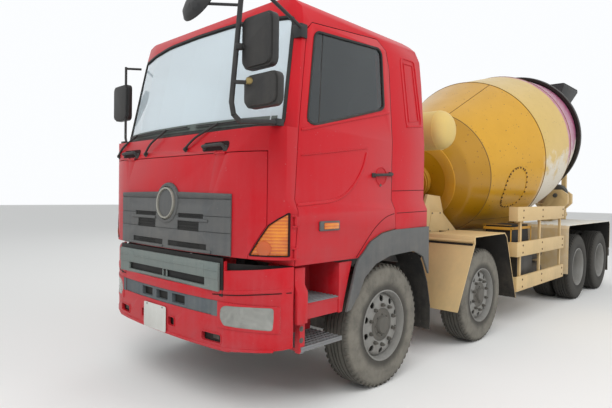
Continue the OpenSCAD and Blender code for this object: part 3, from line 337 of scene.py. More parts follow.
def welded(name, parts):
    """Joins pieces of one make into one object."""
    alone(parts[0])
    for part in parts[1:]:
        part.select_set(True)
    bpy.ops.object.join()
    parts[0].name = name
    return parts[0]


def again(shape, name, body, move=(0, 0, 0), other_side=False):
    """A copy with its own mesh, moved, or mirrored to the other side of the truck."""
    twin = shape.copy()
    twin.data = shape.data.copy()
    twin.name = name
    bpy.context.scene.collection.objects.link(twin)
    for point in twin.data.vertices:
        point.co += Vector(move)
        if other_side:
            point.co.y = -point.co.y
    if other_side:
        worked(twin, (bpy.ops.mesh.flip_normals, {}))
    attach(twin, body)
    return twin


TYRE_WALL = [(0.286, 0.114), (0.296, 0.124), (0.306, 0.126), (0.33, 0.131), (0.37, 0.1365), (0.41, 0.1378),
    (0.445, 0.1365), (0.47, 0.131), (0.488, 0.1215), (0.498, 0.112), (0.505, 0.102), (0.513, 0.090),
    (0.5155, 0.084), (0.504, 0.082), (0.504, 0.072), (0.516, 0.070), (0.5172, 0.040), (0.505, 0.038),
    (0.505, 0.030), (0.5176, 0.028), (0.5179, 0.006), (0.507, 0.005)]
AXLE_Z, FRONT_TRACK, REAR_TRACK = 0.518, 1.037, 1.102
wheel_1 = (F, FRONT_TRACK, AXLE_Z)


def wheel_map(shape, centre):
    """Keeps each point's turn and radius about the axle, so that dust can lie in rings."""
    layer = shape.data.uv_layers.new(name="wheel")
    for loop in shape.data.loops:
        point = shape.data.vertices[loop.vertex_index].co - Vector(centre)
        layer.data[loop.index].uv = (atan2(point.z, point.x) / (2 * pi), hypot(point.x, point.z))


def tyre(name, centre):
    """A tyre on its axle, with the blocks set round both shoulders."""
    ring = turned(name, TYRE_WALL + [(r, -y) for r, y in reversed(TYRE_WALL)], centre, steps=96)
    sides = []
    for side in (1, -1):
        # blocks 30 mm wide on the shoulder, 24 mm at the road
        lug = start("shoulder_blocks", bpy.ops.mesh.primitive_cube_add, size=1,
            location=(centre[0], centre[1] + side * 0.111, centre[2] + 0.501), scale=(0.030, 0.030, 0.030))
        bpy.ops.object.transform_apply()
        for point in lug.data.vertices:
            if (point.co.y - centre[1]) * side > 0.115 and point.co.z > centre[2] + 0.505:
                point.co.y -= side * 0.014
                point.co.x = centre[0] + (point.co.x - centre[0]) * 0.8
        sides.append(ringed(rounded(lug, 0.003), 56, centre))
    whole = welded(name, [ring] + sides)
    wheel_map(whole, centre)
    return whole


# moulded rubber: matt black on the tread, its walls pale with dried mud, thickest in mid wall
tyre_rubber, rubber_shader, rubber_place = surface("dusty_tyre_rubber", {"Roughness": 0.88})
ring_uv = node(tyre_rubber, "UVMap", uv_map="wheel")
ring_r = node(tyre_rubber, "SeparateXYZ", {0: ring_uv}, out="Y")
wall_in = node(tyre_rubber, "MapRange", {"Value": ring_r, "From Min": 0.315, "From Max": 0.385,
    "To Min": 0.25, "To Max": 1.0}, interpolation_type="SMOOTHSTEP")
wall_out = node(tyre_rubber, "MapRange", {"Value": ring_r, "From Min": 0.475, "From Max": 0.508,
    "To Min": 1.0, "To Max": 0.42})
dust_cloud = node(tyre_rubber, "TexNoise", {"Vector": rubber_place, "Scale": 9.0, "Detail": 9.0,
    "Roughness": 0.68})
dust_patch = node(tyre_rubber, "MapRange", {"Value": dust_cloud, "From Min": 0.30, "From Max": 0.62,
    "To Min": 0.35, "To Max": 1.0})
dust_film = node(tyre_rubber, "Math", {0: wall_in, 1: wall_out}, operation="MULTIPLY")
dust_film = node(tyre_rubber, "Math", {0: dust_film, 1: dust_patch}, operation="MULTIPLY")
wall_tone = node(tyre_rubber, "Mix", {0: dust_cloud, 6: linear("#8E8A80"), 7: linear("#67635A")},
    data_type="RGBA", out=2)
wall_colour = node(tyre_rubber, "Mix", {0: dust_film, 6: linear("#2D2B28"), 7: wall_tone}, data_type="RGBA",
    out=2)
joined(wall_colour, rubber_shader, "Base Color")
# rings of the mould, drawn 9 mm apart so that they show, and an 11 mm crust of dried mud
ring_wave = node(tyre_rubber, "Math", {0: ring_r, 1: 700.0}, operation="MULTIPLY")
ring_wave = node(tyre_rubber, "Math", {0: ring_wave}, operation="SINE")
crust = node(tyre_rubber, "TexNoise", {"Vector": rubber_place, "Scale": 90.0, "Detail": 6.0})
crust = node(tyre_rubber, "Math", {0: ring_wave, 1: 0.06, 2: crust}, operation="MULTIPLY_ADD")
crust_bump = node(tyre_rubber, "Bump", {"Height": crust, "Strength": 0.5, "Distance": 0.002})
joined(crust_bump, rubber_shader, "Normal")

tyre_1l = settled(tyre("tyre_1l", wheel_1), "wheel_1l", tyre_rubber)
AXLE_2, AXLE_3, AXLE_4 = -1.9, -5.35, -6.66
STEERED = (("1l", 0, False), ("1r", 0, True), ("2l", AXLE_2, False), ("2r", AXLE_2, True))
DRIVEN = (("3l", AXLE_3, False), ("3r", AXLE_3, True), ("4l", AXLE_4, False), ("4r", AXLE_4, True))
for mark, x, far in STEERED[1:]:
    again(tyre_1l, "tyre_" + mark, "wheel_" + mark, (x, 0, 0), far)
# the same rubber with its mud painted darker: painted shade for the rear wheels under the truck
shaded_twin_rubber = tyre_rubber.copy()
shaded_twin_rubber.name = "wet_tyre_rubber"
for slot, colour in ((6, "#4A4843"), (7, "#33312D")):
    shaded_twin_rubber.node_tree.nodes[wall_tone.node.name].inputs[slot].default_value = linear(colour)
for mark, x, far in DRIVEN:
    for place, outwards in (("_outer", 0.065), ("_inner", -0.261)):
        twin = again(tyre_1l, "tyre_" + mark + place, "wheels_" + mark, (x, outwards, 0), far)
        twin.data.materials[0] = shaded_twin_rubber

# ---------------------------------------------------------------- steered rims
# Pressed steel disc with ten round hand holes, welded into a rolled rim, painted silver and
# filmed with road dust; ten dark nuts hold it to a cast hub.
RIM = [(0.262, -0.118), (0.290, -0.128), (0.2985, -0.124), (0.2858, -0.112), (0.2858, 0.112),
    (0.2985, 0.122), (0.2985, 0.1295), (0.294, 0.1325), (0.288, 0.1315), (0.282, 0.118), (0.273, 0.100),
    (0.268, 0.062), (0.262, 0.050)]
# silver paint baked on steel: pale grey with little metal left to see
rim_paint = dirty("silver_wheel_paint", "#8E8D89", "#6B665D", -0.4, 1.1, 0.85, 0.5, fleck=0.3, metallic=0.2)
# phosphated and oiled steel: dark grey, a dull shine on the edges
nut_steel = dirty("oiled_wheel_nuts", "#5A5853", "#827B70", -0.4, 1.2, 0.7, 0.55, metallic=0.3)
HAND_HOLE, HAND_HOLE_CIRCLE, NUT_CIRCLE = 0.027, 0.222, 0.1675


def disc_with_holes(name, section, centre):
    """A wheel's turned disc with its ring of hand holes drilled."""
    disc = turned(name, section, centre)
    drill = start("drill", bpy.ops.mesh.primitive_cylinder_add, vertices=24, radius=HAND_HOLE, depth=0.4,
        location=(centre[0], centre[1], centre[2] + HAND_HOLE_CIRCLE), rotation=(radians(90), 0, 0))
    return rounded(cut(disc, ringed(drill, 10, centre)), 0.003)


def nuts(name, centre, radius, count=10, across=0.017, height=0.026):
    """A ring of hexagon nuts, each with the end of its stud."""
    nut = start("nut", bpy.ops.mesh.primitive_cylinder_add, vertices=6, radius=across, depth=height,
        location=(centre[0], centre[1] + height / 2, centre[2] + radius), rotation=(radians(90), 0, 0))
    rounded(nut, 0.002)
    stud = start("stud", bpy.ops.mesh.primitive_cylinder_add, vertices=12, radius=across * 0.55,
        depth=height * 1.5, location=(centre[0], centre[1] + height * 0.75, centre[2] + radius),
        rotation=(radians(90), 0, 0))
    rounded(stud, 0.002)
    return ringed(welded(name, [nut, stud]), count, centre)


front_disc = disc_with_holes("disc", [(0.268, 0.060), (0.263, 0.072), (0.247, 0.086), (0.232, 0.092),
    (0.205, 0.097), (0.18, 0.100), (0.14, 0.098), (0.14, 0.086), (0.18, 0.088), (0.205, 0.085),
    (0.228, 0.080), (0.242, 0.074), (0.256, 0.062), (0.260, 0.050)], wheel_1)
rim_1l = settled(welded("rim_1l", [turned("rim", RIM, wheel_1), front_disc]), "wheel_1l", rim_paint)
hub_1l = turned("hub_1l", [(0.0, 0.131), (0.048, 0.131), (0.066, 0.127), (0.076, 0.116), (0.080, 0.104),
    (0.098, 0.102), (0.103, 0.098), (0.138, 0.0965), (0.138, 0.080), (0.12, 0.06), (0.12, 0.0),
    (0.195, -0.01), (0.208, -0.02), (0.208, -0.105), (0.19, -0.105), (0.19, -0.03), (0.0, -0.03)], wheel_1)
hub_bolts = nuts("hub_bolts", (wheel_1[0], wheel_1[1] + 0.098, AXLE_Z), 0.090, 8, 0.009, 0.010)
nuts_1l = nuts("nuts_1l", (wheel_1[0], wheel_1[1] + 0.0985, AXLE_Z), NUT_CIRCLE)
hub_1l = settled(welded("hub_1l", [hub_1l, hub_bolts, nuts_1l]), "wheel_1l", nut_steel)
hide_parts("wheel_1l")
for mark, x, far in STEERED[1:]:
    again(rim_1l, "rim_" + mark, "wheel_" + mark, (x, 0, 0), far)
    again(hub_1l, "hub_" + mark, "wheel_" + mark, (x, 0, 0), far)
    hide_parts("wheel_" + mark)

# ---------------------------------------------------------------- twin rims
# The driven axles' rims: deep discs bolted back to back on the hub, so that the outer one
# is a hollow dish with the hub's end standing out of it.
wheel_3 = (F + AXLE_3, REAR_TRACK, AXLE_Z)
TWIN_MIDDLE = 0.939
twin_disc = disc_with_holes("twin_disc", [(0.268, -0.068), (0.260, -0.074), (0.250, -0.092),
    (0.240, -0.118), (0.228, -0.138), (0.205, -0.147), (0.14, -0.1485), (0.14, -0.160), (0.207, -0.159),
    (0.235, -0.150), (0.250, -0.124), (0.262, -0.090), (0.267, -0.076)], wheel_3)
rim_3l = settled(welded("rim_3l_outer", [turned("rim", RIM, wheel_3), twin_disc]), "wheels_3l", rim_paint)
hub_3l = turned("hub_3l", [(0.0, -0.052), (0.05, -0.052), (0.078, -0.057), (0.090, -0.072), (0.094, -0.118),
    (0.104, -0.132), (0.138, -0.138), (0.138, -0.147), (0.12, -0.17), (0.12, -0.25), (0.195, -0.26),
    (0.208, -0.27), (0.208, -0.375), (0.19, -0.375), (0.19, -0.29), (0.0, -0.29)], wheel_3)
nuts_3l = nuts("nuts", (wheel_3[0], wheel_3[1] - 0.147, AXLE_Z), NUT_CIRCLE)
flange_bolts = nuts("flange_bolts", (wheel_3[0], wheel_3[1] - 0.055, AXLE_Z), 0.066, 8, 0.009, 0.010)
hub_3l = settled(welded("hub_3l", [hub_3l, nuts_3l, flange_bolts]), "wheels_3l", nut_steel)
rim_3l_inner = again(rim_3l, "rim_3l_inner", "wheels_3l", (0, 0, 0), True)
for point in rim_3l_inner.data.vertices:
    point.co.y += 2 * TWIN_MIDDLE
for mark, x, far in DRIVEN:
    if mark != "3l":
        again(rim_3l, "rim_" + mark + "_outer", "wheels_" + mark, (x - AXLE_3, 0, 0), far)
        again(rim_3l_inner, "rim_" + mark + "_inner", "wheels_" + mark, (x - AXLE_3, 0, 0), far)
        again(hub_3l, "hub_" + mark, "wheels_" + mark, (x - AXLE_3, 0, 0), far)
    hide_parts("wheels_" + mark)

# ---------------------------------------------------------------- cab panels
# Pressed steel panels in gloss red enamel, covered inside with grey vinyl trim. Their
# seams, creases and swages are pressed into the real sheet and stand up a few millimetres.

# oven-dried enamel: deep red with sharp reflections, dulled by dust towards the sills
red_enamel = dirty("red_enamel", "#BE0618", "#A8646A", 0.4, 2.2, 0.42, 0.34, fleck=0.6, specular=0.32)
# calendered vinyl: dark grey and matt
grey_trim = dirty("grey_vinyl_trim", "#33373A", "#5E5D58", 1.2, 2.6, 0.3, 0.8)
cab_middle = Vector((F + 0.3, 0, 2.25))
for name in ("cab_shell", "door_left", "door_right"):
    panel = dressed(name, red_enamel, 0.006)
    panel.data.materials.append(grey_trim)
    for face in panel.data.polygons:
        inward = cab_middle - face.center
        if inward.dot(face.normal) > 0.3 * inward.length and face.center.z > 1.36:
            face.material_index = 1
dressed("front_lid", red_enamel, 0.006)


def skin(*names):
    """The outer surface of some CAD nodes, for laying pieces on."""
    points, faces = [], []
    for name in names:
        mesh = frame["nodes"][name].data
        first = len(points)
        points += [point.co.copy() for point in mesh.vertices]
        faces += [[first + i for i in face.vertices] for face in mesh.polygons]
    return BVHTree.FromPolygons(points, faces)


side_skin = skin("cab_shell", "door_left", "arch_flares")
bumper_skin = skin("front_bumper", "headlamps")


def between(rows, at):
    """Reads a profile that is given as rows of place and value."""
    for (a, low), (b, high) in zip(rows, rows[1:]):
        if at <= b:
            return low + (high - low) * (at - a) / (b - a)
    return rows[-1][1]


NOSE_PLAN = [(0, 1.390), (0.4, 1.379), (0.7, 1.357)] + [
    (0.760 + 0.450 * sin(radians(a)), 1.040 + 0.300 * cos(radians(a))) for a in range(12, 85, 8)]
NOSE_RISE = [(1.0, 1.385), (1.165, 1.385), (1.9, 1.345), (2.07, 1.300), (2.2, 1.298)]


def on_nose(y, z, proud=0.0):
    """A point on the cab's front below the windscreen."""
    return Vector((F + min(between(NOSE_PLAN, abs(y)), between(NOSE_RISE, z)) + proud, y, z))


def on_bumper(y, z, proud=0.0):
    """A point on the bumper's and headlamps' front."""
    hits = [bumper_skin.ray_cast(Vector((8, y, z + dz)), Vector((-1, 0, 0)))[0]
        for dz in (-0.06, -0.012, 0, 0.012, 0.06)]
    return Vector((max(hit.x for hit in hits if hit) + proud, y, z))


def on_side(x, z, proud=0.0):
    """A point on the truck's left side; x is measured from the first axle."""
    hits = [side_skin.ray_cast(Vector((x + F + dx, 4, z)), Vector((0, -1, 0)))[0]
        for dx in (-0.012, 0, 0.012)]
    return Vector((x + F, max(hit.y for hit in hits if hit) + proud, z))


def laid(name, ways, rows, place, thick):
    """A sheet laid point by point and given a thickness to both sides."""
    sheet = start(name, bpy.ops.mesh.primitive_grid_add, x_subdivisions=ways, y_subdivisions=rows, size=1)
    for point in sheet.data.vertices:
        point.co = place(point.co.x + 0.5, point.co.y + 0.5)
    worked(sheet, (bpy.ops.mesh.remove_doubles, dict(threshold=0.0003)), OUTWARDS)
    return worked(modified(sheet, "SOLIDIFY", thickness=thick, offset=0), OUTWARDS)


def eased(points, radius, closed=False, step=0.07):
    """Rounds the corners of a path and gives its long runs more points."""
    points = [Vector(p) for p in points]
    path = []
    for i, corner in enumerate(points):
        if not closed and i in (0, len(points) - 1):
            path.append(corner)
            continue
        before, after = points[i - 1] - corner, points[(i + 1) % len(points)] - corner
        reach = min(radius, before.length / 2.1, after.length / 2.1)
        a, b = corner + before.normalized() * reach, corner + after.normalized() * reach
        path += [a.lerp(corner, t / 5).lerp(corner.lerp(b, t / 5), t / 5) for t in range(6)]
    if closed:
        path.append(path[0])
    full = []
    for a, b in zip(path, path[1:]):
        parts = max(1, int((b - a).length / step))
        full += [a.lerp(b, k / parts) for k in range(parts)]
    return full if closed else full + [path[-1]]


def band(name, path, near, far, lie, thick, closed=False, rows=1):
    """A strip along a path on a surface, between two distances to the path's left."""
    count = len(path)

    def place(along, across):
        i = round(along * (count if closed else count - 1)) % count
        a = path[i - 1] if closed or i else path[0]
        b = path[(i + 1) % count] if closed or i < count - 1 else path[i]
        way = (b - a).normalized()
        beside = near + (far - near) * across
        return lie(path[i][0] - way[1] * beside, path[i][1] + way[0] * beside)
    return laid(name, count if closed else count - 1, rows, place, thick)


def tube(name, points, radius, ease=0.03):
    """A bent rod or hose along a path."""
    rod = start(name, bpy.ops.curve.primitive_bezier_curve_add)
    rod.data.splines.clear()
    line = rod.data.splines.new("POLY")
    path = eased(points, ease, step=0.2)
    line.points.add(len(path) - 1)
    for point, place in zip(line.points, path):
        point.co = (*place, 1)
    rod.data.dimensions = "3D"
    rod.data.bevel_depth = radius
    rod.data.bevel_resolution = 3
    rod.data.use_fill_caps = True
    bpy.ops.object.convert(target="MESH")
    return bpy.context.object


def box(name, low, high, corner=0.003):
    """A block with eased edges, for bars and plates."""
    size = [b - a for a, b in zip(low, high)]
    block = start(name, bpy.ops.mesh.primitive_cube_add, size=1,
        location=[(a + b) / 2 for a, b in zip(low, high)], scale=size)
    bpy.ops.object.transform_apply()
    return rounded(block, corner)


def both(body, *shapes):
    """Gives pieces of the left side their twins on the right."""
    for shape in shapes:
        name = shape.name.replace("left", "right") if "left" in shape.name else shape.name + "_right"
        again(shape, name, body.replace("left", "right"), other_side=True)


# the unlit gap between two sheets: near black, with red thrown back into it
dark_seam = dirty("seam_shadow", "#240608", "#3A2A26", 0.5, 3.0, 0.2, 0.9)
ridges = {
    "door_swage": ("door_left", [(0.281, 1.955), (0.325, 1.831), (0.412, 1.717), (0.54, 1.612),
        (0.692, 1.567), (1.086, 1.540)], 0.011),
    "door_crease": ("door_left", [(-0.065, 2.322), (0.563, 2.176), (1.04, 2.062)], 0.010),
    "door_line": ("door_left", [(0.27, 1.992), (1.04, 1.884)], 0.005),
    "quarter_panel_ledge": ("cab", [(-0.32, 2.232), (-0.585, 2.262)], 0.012)}
for name, (body, path, half) in ridges.items():
    ridge = settled(band(name, eased(path, 0.08, step=0.04), -half, half, lambda x, z: on_side(x, z, 0.001),
        0.011, rows=2), body, red_enamel, 0.004)
    both(body, ridge)
panel_frame = [(-0.269, 2.841), (-0.50, 2.848), (-0.575, 2.262), (-0.321, 2.23)]
for name, inner, half in (("quarter_panel_frame", 0.0, 0.009), ("quarter_panel_inner_frame", 0.045, 0.005)):
    ridge = settled(band(name, eased(panel_frame, 0.05, True, 0.05), inner - half, inner + half,
        lambda x, z: on_side(x, z, 0.001), 0.007, True, 2), "cab", red_enamel, 0.002)
    both("cab", ridge)
seams = {
    "quarter_seam_high": ("cab", [(-0.09, 1.655), (-0.608, 1.671)]),
    "quarter_seam_low": ("cab", [(-0.105, 1.466), (-0.608, 1.477)]),
    "arch_seam": ("door_left", [(0.45, 1.131), (0.34, 1.235), (0.20, 1.36), (0.05, 1.440), (-0.07, 1.463)])}
for name, (body, path) in seams.items():
    line = settled(band(name, eased(path, 0.1, step=0.04), -0.0025, 0.0025,
        lambda x, z: on_side(x, z, 0.0003), 0.002), body, dark_seam)
    both(body, line)

# ---------------------------------------------------------------- seats and dashboard
# Foam seats in woven cloth and a moulded black dashboard, bolted to the cab's floor and seen
# through the glass.

# woven cloth: dark grey, no gloss at all
seat_cloth = dirty("seat_cloth", "#303236", "#5A564F", 1.0, 2.6, 0.3, 0.9)
dressed("seats", seat_cloth)
dressed("dashboard", black_plastic)

# ---------------------------------------------------------------- wheel arches
# Moulded flares bolted round the cab's wheel arches, and textured spray guards under them
# with mud in every groove.

# moulded polypropylene: mid grey, chalked by the sun
grey_plastic = dirty("weathered_grey_plastic", "#505253", "#938E85", 0.6, 2.0, 0.5, 0.6, fleck=0.3)
dressed("arch_flares", grey_plastic)
# moulded polyethylene: black under wet mud
spray_plastic = dirty("spray_guard_plastic", "#191A1A", "#6A645B", 0.2, 1.3, 0.6, 0.85, fleck=1.0)
dressed("front_mudguards", spray_plastic)

# ---------------------------------------------------------------- glass and its rubber
# Laminated windscreen and tempered door windows, each held in a black rubber section; the door windows are
# clear but filmed with dust, the windscreen pale with a painted reflection of the sky; a dark band is
# printed round the windscreen's edge.

# laminated float glass: its pale base colour is a painted reflection of the sky, so little of the inside
# shows
glass_with_painted_sky = surface("tempered_glass", {"Base Color": linear("#E8F4FA"), "Roughness": 0.02,
    "Transmission Weight": 0.42, "IOR": 1.5})[0]
screen = frame["nodes"]["windscreen"]
screen.data.materials.clear()
screen.data.materials.append(glass_with_painted_sky)
# extruded rubber: black with a grey bloom
window_rubber = dirty("black_window_rubber", "#1B1C1D", "#7D786E", 1.6, 3.2, 0.35, 0.7)
SCREEN_FOOT, SCREEN_LEAN = 2.07, radians(12.4)
SCREEN_PLAN = [(0, 0), (0.4, -0.014), (0.74, -0.048), (0.98, -0.098), (1.112, -0.150), (1.19, -0.230)]


def on_screen(y, z, proud=0.0):
    """A point on the bowed, leaning surface that the windscreen lies in."""
    bow = between(SCREEN_PLAN, abs(y))
    return Vector((F + 1.290 - (z - SCREEN_FOOT) * tan(SCREEN_LEAN) + bow * 1.0239 + proud, y, z))


screen_edge = eased([(-1.088, 2.084), (1.088, 2.084), (1.030, 2.880), (0.5, 2.920), (-0.5, 2.920),
    (-1.030, 2.880)], 0.05, True)
settled(band("windscreen_rubber", screen_edge, -0.012, 0.008, lambda y, z: on_screen(y, z, 0.0), 0.012,
    True, 3), "cab", window_rubber, 0.003)
settled(band("windscreen_border", screen_edge, 0.004, 0.020, lambda y, z: on_screen(y, z, -0.0065), 0.0015,
    True, 2), "cab", window_rubber)
# a printed ceramic band, seen through dusty glass
cowl_paint = dirty("dusty_screen_band", "#59635F", "#8A8A7E", 1.6, 2.6, 0.4, 0.7)
settled(laid("screen_foot_band", 30, 2, lambda a, b: on_screen(-1.03 + 2.06 * a, 2.104 + 0.055 * b,
    -0.0068), 0.0015), "cab", cowl_paint)
GLASS_FOOT, GLASS_LEAN = 1.160, 0.0769
WINDOW = [(0.975, 2.125), (0.860, 2.765), (0.820, 2.800), (0.060, 2.845), (0.020, 2.810), (0.020, 2.360),
    (0.060, 2.330), (0.700, 2.160), (0.880, 2.110)]


def side_glass(x, z, proud=0.0):
    """A point on the leaning plane of the door's glass."""
    return Vector((F + x, GLASS_FOOT - GLASS_LEAN * (z - SCREEN_FOOT) + proud, z))


window_edge = eased(WINDOW, 0.045, True)
rubber = settled(band("door_window_rubber", window_edge, -0.008, 0.009,
    lambda x, z: side_glass(x, z, -0.002), 0.016, True, 3), "door_left", window_rubber, 0.003)
pane = start("door_window", bpy.ops.mesh.primitive_circle_add, vertices=len(window_edge), fill_type="NGON")
for point, (x, z) in zip(pane.data.vertices, window_edge):
    point.co = side_glass(x, z, -0.012)
modified(pane, "SOLIDIFY", thickness=0.005)


def filmed(name, values, pattern, clear, film):
    """A smooth finish under a faint film, in clouds between two colours."""
    material, shader, place = surface(name, values)
    clouds = node(material, "TexNoise", {"Vector": place, **pattern})
    joined(node(material, "Mix", {0: clouds, 6: linear(clear), 7: linear(film)}, data_type="RGBA", out=2),
        shader, "Base Color")
    return material


# tempered float glass: grey green, clear, with dust in clouds 250 mm across
side_glass_tint = filmed("tinted_side_glass", {"Roughness": 0.0, "Transmission Weight": 0.95, "IOR": 1.5},
    {"Scale": 4.0, "Detail": 5.0}, "#8D989B", "#79858A")
settled(pane, "door_left", side_glass_tint)
rail = settled(tube("window_front_bar", [side_glass(0.845, 2.135, -0.014), side_glass(0.76, 2.79, -0.014)],
    0.009), "door_left", window_rubber)
both("door_left", rubber, pane, rail)

# ---------------------------------------------------------------- wipers
# Three black pressed steel arms with rubber blades, parked along the foot of the glass; each
# turns on a spindle that comes through the red panel under it.

# black lacquer on steel: satin, dusty
wiper_black = dirty("satin_black_steel", "#141516", "#6A665E", 1.6, 2.6, 0.3, 0.45)
for number, (pivot_y, pivot_z, blade_y) in enumerate(((-0.946, 1.944, -0.712), (-0.411, 1.938, -0.154),
        (0.192, 1.951, 0.530))):
    foot = on_nose(pivot_y, pivot_z)
    spindle = turned("spindle", [(0, 0.024), (0.010, 0.024), (0.016, 0.018), (0.017, 0.004), (0.024, 0.0),
        (0.024, -0.01), (0, -0.01)], foot, (1, 0, 0.24), 24)
    arm = tube("arm",
        [foot + Vector((0.018, 0, 0)), foot.lerp(on_screen(blade_y, 2.128), 0.4) + Vector((0.050, 0, 0.01)),
        on_screen(blade_y, 2.132, 0.030)], 0.009, 0.06)
    spine = tube("spine",
        [on_screen(blade_y + s, 2.132 + 0.02 * abs(s), 0.020 if abs(s) < 0.2 else 0.012)
        for s in (-0.28, -0.14, 0, 0.14, 0.28)], 0.0055)
    blade = laid("blade", 14, 1, lambda a, b: on_screen(blade_y - 0.30 + 0.60 * a, 2.130 - 0.006 * b,
        -0.002 + 0.014 * b), 0.004)
    settled(welded("wiper_%d" % (number + 1), [arm, spindle, spine, blade]), "cab", wiper_black, 0.001)

# ---------------------------------------------------------------- nose grips
# Two pockets under the windscreen, drawn as dark bands of painted shade where the real panel is
# recessed, with a moulded black grab bar in each, to hold on to while the glass is cleaned.
for name, y0, y1 in (("right", -0.80, -0.54), ("left", 0.44, 0.72)):
    pocket = [(y0 - 0.02, 1.925), (y1 + 0.01, 1.925), (y1 + 0.01, 1.985), (y0 - 0.02, 1.985)]
    # the pocket's hollow is a dark band laid flat on the panel: painted shade
    settled(band("grip_pocket_" + name, eased(pocket, 0.03, True, 0.03), -0.004, 0.030, on_nose, 0.003,
        True, 2), "cab", dark_seam)
    bar = tube("bar", [on_nose(y0, 1.955, 0.0), on_nose(y0 + 0.01, 1.958, 0.034),
        on_nose(y1 - 0.03, 1.962, 0.036), on_nose(y1 - 0.02, 1.930, 0.0)], 0.013, 0.02)
    feet = [turned("foot", [(0, 0.012), (0.018, 0.012), (0.026, 0.004), (0.026, -0.006), (0, -0.006)],
        on_nose(y, z), (1, 0, 0.2), 20) for y, z in ((y0, 1.955), (y1 - 0.02, 1.932))]
    settled(welded("nose_grip_" + name, [bar] + feet), "cab", black_plastic, 0.001)

# ---------------------------------------------------------------- upper grille
# Moulded dark grey plastic panel on the lid: four ribs with seams between them, slots that
# open on black louvres, and a plain round cap in the middle.
panel = dressed("upper_grille", grey_plastic)
GRILLE_THICK = 0.014


def on_grille(y, z, proud=0.0):
    """A point on the panel's own front."""
    return on_nose(y, z, GRILLE_THICK + proud)


for z in (1.570, 1.445, 1.330):
    groove = laid("groove", 40, 1, lambda a, b: on_grille(-0.82 + 1.64 * a, z - 0.003 + 0.006 * b), 0.012)
    cut(panel, groove)
rounded(panel, 0, 30)
# moulded plastic, black; the same black also makes sheets of painted shade behind openings and in gaps
louvres_and_painted_shade = dirty("black_louvres", "#101112", "#4A463E", 0.8, 2.0, 0.4, 0.7)
# a black sheet behind the slots: painted shade of the engine bay
settled(laid("grille_backing_shade", 30, 4, lambda a, b: on_nose(-0.58 + 1.16 * a, 1.18 + 0.30 * b, 0.002),
    0.006), "front_lid", louvres_and_painted_shade)
for z in (1.208, 1.222, 1.345, 1.368, 1.438):
    for side in (-1, 1):
        settled(laid("louvre_%d_%d" % (z * 1000, side > 0), 8, 1,
            lambda a, b: on_nose(side * (0.17 + 0.28 * a), z + 0.003 * b, 0.004 + 0.006 * b), 0.0025),
            "front_lid", louvres_and_painted_shade)
for name, z, low, high in (("middle", 1.409, 0.16, 0.56), ("lower", 1.183, 0.03, 0.60)):
    for side in (-1, 1):
        settled(laid("grille_lip_%s_%d" % (name, side > 0), 12, 2,
            lambda a, b: on_grille(side * (low + (high - low) * a), z - 0.009 + 0.018 * b,
            0.003 + 0.004 * sin(pi * b)), 0.008), "front_lid", grey_plastic, 0.002)
cap_place = on_grille(0, 1.53)
settled(turned("round_cap", [(0, 0.020), (0.06, 0.018), (0.104, 0.012), (0.110, 0.012), (0.110, -0.01),
    (0, -0.01)], cap_place, (1, 0, 0.05), 64), "front_lid", grey_plastic)
# chromed ring gone dull: warm grey metal
cap_metal = dirty("bright_cap_ring", "#A9A79D", "#7F776A", 0.8, 2.2, 0.5, 0.35, metallic=0.6)
settled(turned("cap_ring", [(0.109, 0.010), (0.112, 0.024), (0.118, 0.028), (0.124, 0.026), (0.129, 0.010),
    (0.129, -0.006), (0.109, -0.006)], cap_place, (1, 0, 0.05), 64), "front_lid", cap_metal)
settled(turned("cap_surround", [(0.132, 0.004), (0.136, 0.012), (0.150, 0.013), (0.160, 0.006),
    (0.163, -0.006), (0.132, -0.006)], cap_place, (1, 0, 0.05), 64), "front_lid", grey_plastic)

# ---------------------------------------------------------------- bumper
# Pressed steel in the cab's red: a low middle, high wrap-round corners that rise towards
# the doors, a seam under each corner, holes for the tow eyes, and black sheets of painted shade behind.
shell = merged_copy("front_bumper")


def pulled(name, edge, way):
    """A solid pulled along a way from a flat edge of points."""
    block = start(name, bpy.ops.mesh.primitive_circle_add, vertices=len(edge), fill_type="NGON")
    for point, place in zip(block.data.vertices, edge):
        point.co = place
    return worked(block, (bpy.ops.mesh.extrude_region_move, dict(TRANSFORM_OT_translate={"value": way})),
        ALL, OUTWARDS)


def prism(name, outline, x0, x1):
    """A solid with a front view outline, reaching from one x to another."""
    return pulled(name, [(F + x0, y, z) for y, z in outline], (x1 - x0, 0, 0))


slope = [(0.752, 1.068), (1.0, 1.092), (1.3, 1.134), (1.3, 1.2), (0.752, 1.2)]
for side in (-1, 1):
    cut(shell, prism("slope", [(side * y, z) for y, z in slope], 0.9, 1.6))
HOLES = ((-0.312, -0.250, 0.575, 0.646), (0.100, 0.188, 0.576, 0.644), (-0.738, -0.560, 0.552, 0.614),
    (0.530, 0.728, 0.548, 0.610))
rims = {"hole_rim_%d" % (y0 * -1000): eased([(y0, z0), (y1, z0), (y1, z1), (y0, z1)], 0.018, True)
        for y0, y1, z0, z1 in HOLES}
for edge in rims.values():
    cut(shell, prism("hole", edge, 1.30, 1.60))
rounded(shell, 0.004, 34)
shell.data.materials.append(red_enamel)
for name, edge in rims.items():
    settled(band(name, edge, -0.008, 0.001, lambda y, z: on_bumper(y, z, 0.001), 0.006, True, 2), "chassis",
        red_enamel, 0.002)
